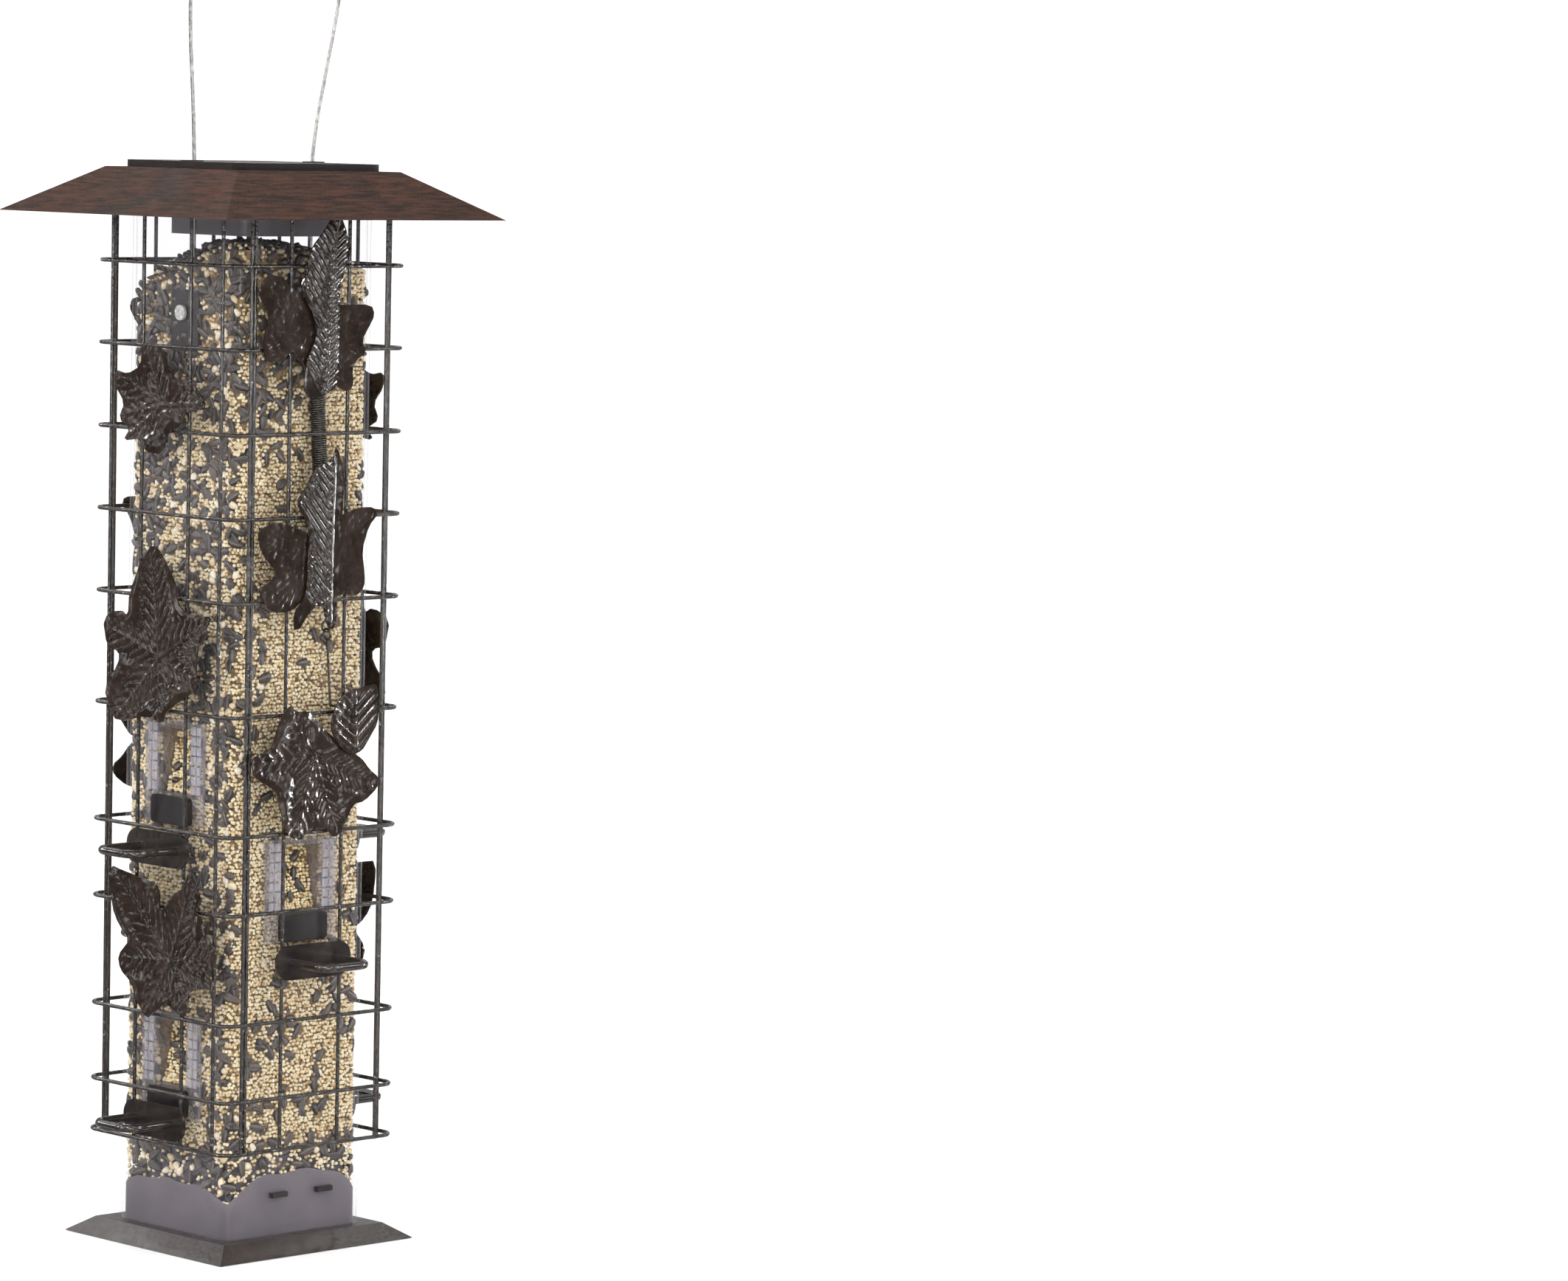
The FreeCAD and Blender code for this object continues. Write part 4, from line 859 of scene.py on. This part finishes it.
def fill_port(name, box):
    """Seed that slopes down inside a port's mouth to its sill."""
    side = name.split("_")[0]
    turn = spun(TURNS[side])
    sill = box[0].z / MM + PORT_BELOW
    u, t = (g.ravel() for g in np.meshgrid(np.arange(-12.6, 12.7, 2.1), np.arange(0.0, 1.0, 0.052)))
    u = u + draw(-0.6, 0.6, len(u))
    t = np.clip(t + draw(-0.015, 0.015, len(t)), 0, 1)
    v = sill + 1.6 + 35.0 * t ** 1.15
    out = 45.5 - 7.5 * t ** 0.8 + draw(-0.5, 0.5, len(t))
    count = len(u)
    big = chance(count) < 0.075
    small = ~big
    centres = (np.column_stack([u, -out, v]) @ turn.T) * MM
    tones = chance(count)
    sizes = draw(0.98, 1.25, (count, 1)) * np.array([[0.9, 1.0, 1.15]]) * MM
    turns, shades = random_turns(small.sum()), tones[small] ** 0.8
    strew("mouth_millet_" + name, icosahedron(), centres[small], sizes[small], turns, "millet", shades)
    inner = big & (np.abs(u) < 9.5) & (v > sill + 5) & (v < sill + 31)
    count = inner.sum()
    sizes = np.tile(np.array([[1.5, 2.4, 4.4]]), (count, 1)) * MM
    normals = np.tile(turn @ np.array([0.0, -0.9, 0.4]), (count, 1))
    lifted = centres[inner] + normals * 0.6 * MM
    turns = random_turns(count, 0.3, normals)
    strew("mouth_husks_" + name, teardrop(), lifted, sizes, turns, "sunflower", tones[inner])


def fill_top():
    """The heap that shows under the roof: large seeds with a little millet between them."""
    reach, bracket_in, bracket_half = 42.5, 38, 9
    for name, spacing, shape, look, half, sink in (
            ("heap_husks", 5.4, teardrop(), "sunflower", (1.5, 2.5, 4.8), 0.4),
            ("heap_kernels", 9.0, teardrop(7, 5), "kernel", (1.7, 2.1, 2.7), 0.4),
            ("heap_millet", 3.2, icosahedron(), "millet", (1.0, 1.1, 1.2), 1.2)):
        grid = np.arange(-42.0, 42.1, spacing)
        x, y = (g.ravel() for g in np.meshgrid(grid, grid))
        x = x + draw(-0.4, 0.4, len(x)) * spacing
        y = y + draw(-0.4, 0.4, len(y)) * spacing
        keep = np.maximum(np.abs(x), np.abs(y)) < reach
        keep &= ~((np.abs(x) > bracket_in) & (np.abs(y) < bracket_half))
        x, y = x[keep], y[keep]
        count = len(x)
        centres = np.column_stack([x, y, seed_level(x, y) - sink]) * MM
        turns = random_turns(count, 0.3, np.tile(np.array([0.0, 0.0, 1.0]), (count, 1)))
        sizes = np.tile(np.array([half]), (count, 1)) * MM
        strew(name, shape, centres, sizes, turns, look, chance(count))


def make_bed():
    """The seed behind the outer grains: a rounded square column, pressed in at the ports and heaped."""
    half, corner, port_in, port_half, cup_in, cup_line = 45.0, 4.5, 36.8, 17.0, 2.4, 52
    slope, sunk = 30.0, 3.0
    foot = SEED_TOP - slope
    levels = np.concatenate([np.arange(12.0, foot, 2.6), np.linspace(foot, SEED_TOP, 10)])
    u = np.linspace(-(half - corner), half - corner, 32)
    rings = []
    for z in levels:
        ring = []
        for side in TURNS:
            out = np.full(len(u), half)
            for sill in sill_heights(side):
                if sill - 3.5 < z < sill + 41.0:
                    out = np.where(np.abs(u) < port_half, port_in, out)
            out = out - (cup_in if z < cup_line else 0.0)
            lift = np.clip((z - foot) / slope, 0, 1) * (wall_level(side, u) - sunk - SEED_TOP)
            ring.append(np.column_stack([u, -out, z + lift]) @ spun(TURNS[side]).T)
        rings.append(np.vstack(ring))
    rim = rings[-1]
    for share in (0.86, 0.6, 0.3, 0.08):
        x, y = rim[:, 0] * share, rim[:, 1] * share
        rings.append(np.column_stack([x, y, seed_level(x, y) - sunk]))
    faces = ring_faces(len(rings), len(rim))
    piece = add_mesh("seed_bed", np.vstack(rings) * MM, faces, "bed", "feeder", 40.0)
    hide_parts("seed_fill")


for side in TURNS:
    fill_side(side)
make_bed()
for name, box in PORT_BOXES.items():
    fill_port(name, box)
fill_top()


def make_ribs(name, box):
    """Two columns of small raised blocks at each side of a port's opening."""
    side = name.split("_")[0]
    first_row = box[0].z / MM + PORT_BELOW + 1.6
    pitch, tall, sunk, shoulder, crown, taper = 5.6, 4.8, -0.3, 0.35, 0.7, 0.4
    plane = max(abs(v) for corner in box for v in (corner.x, corner.y)) / MM
    points, faces = [], []
    for across, half in ((-21.9, 1.5), (-17.4, 2.1), (17.4, 2.1), (21.9, 1.5)):
        for low in (first_row + pitch * row for row in range(7)):
            first = len(points)
            for out, trim in ((sunk, 0), (shoulder, 0), (crown, taper)):
                wide, foot, top = half - trim, low + trim, low + tall - trim
                points += [(across + way * wide, -plane - out, height)
                           for way, height in ((-1, foot), (1, foot), (1, top), (-1, top))]
            faces += [[first + i for i in face] for face in ring_faces(3, 4)]
    placed = np.array(points) @ spun(TURNS[side]).T * MM
    add_mesh("port_ribs_" + name, placed, faces, "rib", "feeder", 30.0)


for name, box in PORT_BOXES.items():
    make_ribs(name, box)


# -------- grey cup
def make_cup():
    """Rounded square cup whose rim arches up in the middle of each face."""
    low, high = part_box("base_cup")
    half, corner, wall, floor_thick, floor_share = (high.x - low.x) / 2 / MM, 6.0, 1.6, 1.8, 0.3
    foot = low.z / MM
    straight = half - corner

    def loop(inset):
        """One corner and one side in turn, all at height 0."""
        radius = corner - inset
        quarter = [(u, inset - half, 0) for u in np.linspace(-straight, straight, 44, endpoint=False)]
        for a in np.linspace(0, math.pi / 2, 10, endpoint=False):
            quarter.append((straight + radius * math.sin(a), -straight - radius * math.cos(a), 0))
        return np.vstack([np.array(quarter) @ spun(turn).T for turn in TURNS.values()])

    outer, inner = loop(0.0), loop(wall)
    flank = np.abs(outer[:, 0]) > np.abs(outer[:, 1])
    rim = np.where(flank, cup_edge(outer[:, 1], "left"), cup_edge(outer[:, 0], "front"))
    rings = [outer * floor_share + (0, 0, foot)]
    for row, share, top in ((outer, 0.0, 0.0), (outer, 0.35, 0.0), (outer, 0.7, 0.0), (outer, 0.96, 0.0),
                            (inner * 0.25 + outer * 0.75, 1.0, 0.0), (inner, 1.0, -0.4), (inner, 0.6, 0.0),
                            (inner, 0.06, 0.0)):
        rings.append(np.column_stack([row[:, 0], row[:, 1], foot + (rim - foot) * share + top]))
    rings.append(inner * floor_share + (0, 0, foot + floor_thick))
    faces = ring_faces(len(rings), len(outer))
    piece = add_mesh("seed_cup", np.vstack(rings) * MM, faces, "cup", "feeder", 50.0)
    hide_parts("base_cup")


make_cup()


# -------- springs
def swept(centres, outwards, sideways, wire, closed=False):
    """A round wire along a row of centres, given two directions across it. Returns points and faces."""
    around = 6
    turns = 2 * math.pi * np.arange(around) / around
    c, s = np.cos(turns)[None, :, None], np.sin(turns)[None, :, None]
    rings = centres[:, None] + wire * (c * outwards[:, None] + s * sideways[:, None])
    return rings.reshape(-1, 3), ring_faces(len(centres), around, closed)


def make_spring(node, name):
    """A close-wound tension spring with a hook wire and an eye at each end, along the CAD node's axis."""
    co = np.array([v.co for v in NODES[node].data.vertices], float)
    end = 1.5 * MM
    top = co[co[:, 2] > co[:, 2].max() - end].mean(0)
    foot = co[co[:, 2] < co[:, 2].min() + end].mean(0)
    axis = (foot - top) / np.linalg.norm(foot - top)
    along = (co - top) @ axis
    top, length = top + axis * along.min(), along.max() - along.min()
    side = np.cross(axis, [0.0, 1.0, 0.0])
    side /= np.linalg.norm(side)
    other = np.cross(axis, side)
    wire, eye, upper, lower = 0.6 * MM, 3.2 * MM, 18.2 * MM, 6.0 * MM
    reach = np.linalg.norm((co - top) - ((co - top) @ axis)[:, None] * axis, axis=1).max() - wire
    loop_size = 2 * (eye + wire)
    start = loop_size + upper
    wound = length - start - loop_size - lower
    turns, steps = int(wound / (2.1 * wire)), 18
    t = np.linspace(0, 1, turns * steps + 1)
    angle = 2 * math.pi * turns * t
    squeeze = np.clip(np.minimum(t, 1 - t) * turns, 0.15, 1.0)
    outwards = np.cos(angle)[:, None] * side + np.sin(angle)[:, None] * other
    centres = top + axis * (start + wire + (wound - 2 * wire) * t)[:, None]
    centres = centres + outwards * (reach * squeeze)[:, None]
    parts = [swept(centres, outwards, np.tile(axis, (len(t), 1)), wire)]
    for a, b in ((loop_size - wire, start + 2 * wire),
                 (length - loop_size + wire, length - loop_size - lower - 2 * wire)):
        line = top + axis * np.linspace(a, b, 6)[:, None]
        parts.append(swept(line, np.tile(side, (6, 1)), np.tile(other, (6, 1)), wire))
    for middle in (eye + wire, length - eye - wire):
        a = np.linspace(0, 2 * math.pi, 25)[:-1]
        outwards = np.cos(a)[:, None] * side + np.sin(a)[:, None] * axis
        sideways = np.tile(other, (len(a), 1))
        parts.append(swept(top + axis * middle + outwards * eye, outwards, sideways, wire, True))
    points, faces, seen = [], [], 0
    for more, cells in parts:
        points.append(more)
        faces += [[i + seen for i in cell] for cell in cells]
        seen += len(more)
    piece = add_mesh(name, np.vstack(points), faces, "spring", None, 180.0)
    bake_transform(piece)
    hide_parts(node)


make_spring("cage_spring_front", "coil_spring_front")
make_spring("cage_spring_back", "coil_spring_back")


# -------- floor and light
def make_floor():
    reach, drop = 30.0, 0.0004
    mesh = bpy.data.meshes.new("floor")
    corners = [(x * reach, y * reach, -drop) for x, y in ((-1, -1), (1, -1), (1, 1), (-1, 1))]
    mesh.from_pydata(corners, [], [(0, 1, 2, 3)])
    floor = bpy.data.objects.new("floor", mesh)
    scene.collection.objects.link(floor)
    f = Finish("floor_paper")
    cloud = f.noise(3.0, 3.0)
    colour = f.ramp(cloud, [(0.3, (0.95, 0.95, 0.95, 1)), (0.7, (0.98, 0.98, 0.98, 1))])
    mesh.materials.append(f.done(f.surface(colour, f.spread(cloud, 0.7, 0.85), specular=0.2)))
    floor.visible_glossy = False


LIT_HEIGHT = 0.35


def make_light(name, place, size, power):
    data = bpy.data.lights.new(name, "AREA")
    data.shape, data.size, data.energy = "DISK", size, power
    lamp = bpy.data.objects.new(name, data)
    lamp.location = place
    lamp.rotation_euler = (Vector((0, 0, LIT_HEIGHT)) - Vector(place)).to_track_quat("-Z", "Y").to_euler()
    scene.collection.objects.link(lamp)
    return lamp


def make_room():
    """A white room for diffuse light; shiny paint mirrors a dim room with a few bright panels."""
    scene.world = bpy.data.worlds.new("studio")
    scene.world.use_nodes = True
    tree = scene.world.node_tree
    place = add_node(tree, "TexCoord").outputs["Generated"]
    panels = add_node(tree, "TexNoise", {"Vector": place, "Scale": 6.0, "Detail": 0.5}).outputs["Fac"]
    mirrored = add_node(tree, "MapRange", {
        "Value": panels, "From Min": 0.58, "From Max": 0.65, "To Min": 0.07, "To Max": 3.4}).outputs["Result"]
    shiny = add_node(tree, "LightPath").outputs["Is Glossy Ray"]
    level = add_node(tree, "MapRange", {"Value": shiny, "To Min": 1.25, "To Max": mirrored}).outputs["Result"]
    sky = tree.nodes["Background"]
    sky.inputs["Color"].default_value = (1.0, 1.0, 1.0, 1.0)
    tree.links.new(level, sky.inputs["Strength"])


make_floor()
make_room()
for name, place, size, power in (
        ("key", (-2.3, -1.3, 1.7), 0.45, 18.0), ("fill", (0.9, -2.8, 1.4), 0.4, 9.0),
        ("low", (-1.6, -2.4, 0.25), 0.3, 4.0), ("rim", (1.6, 2.0, 2.2), 0.9, 14.0),
        ("behind", (-1.4, 2.4, 1.2), 0.5, 9.0)):
    make_light(name, place, size, power)
# small lamps that show only as sparkles on dimpled paint and pressed veins
GLINTS = ((0.63, -0.77, 0.42), (0.15, -0.98, 0.2), (0.92, -0.36, 0.2), (0.45, -0.7, 0.9), (-0.35, -0.9, 0.55),
          (0.85, -0.5, -0.08), (-0.8, 0.5, 0.4), (-0.3, 0.9, 0.35), (-0.96, 0.05, 0.25), (-0.6, 0.45, 0.95),
          (-0.9, -0.45, 0.8), (-0.7, -0.7, 0.02))
for number, (x, y, z) in enumerate(GLINTS):
    lamp = make_light("glint_%d" % number, (3 * x, 3 * y, 3 * z + LIT_HEIGHT), 0.14, 14.0)
    lamp.visible_diffuse = False
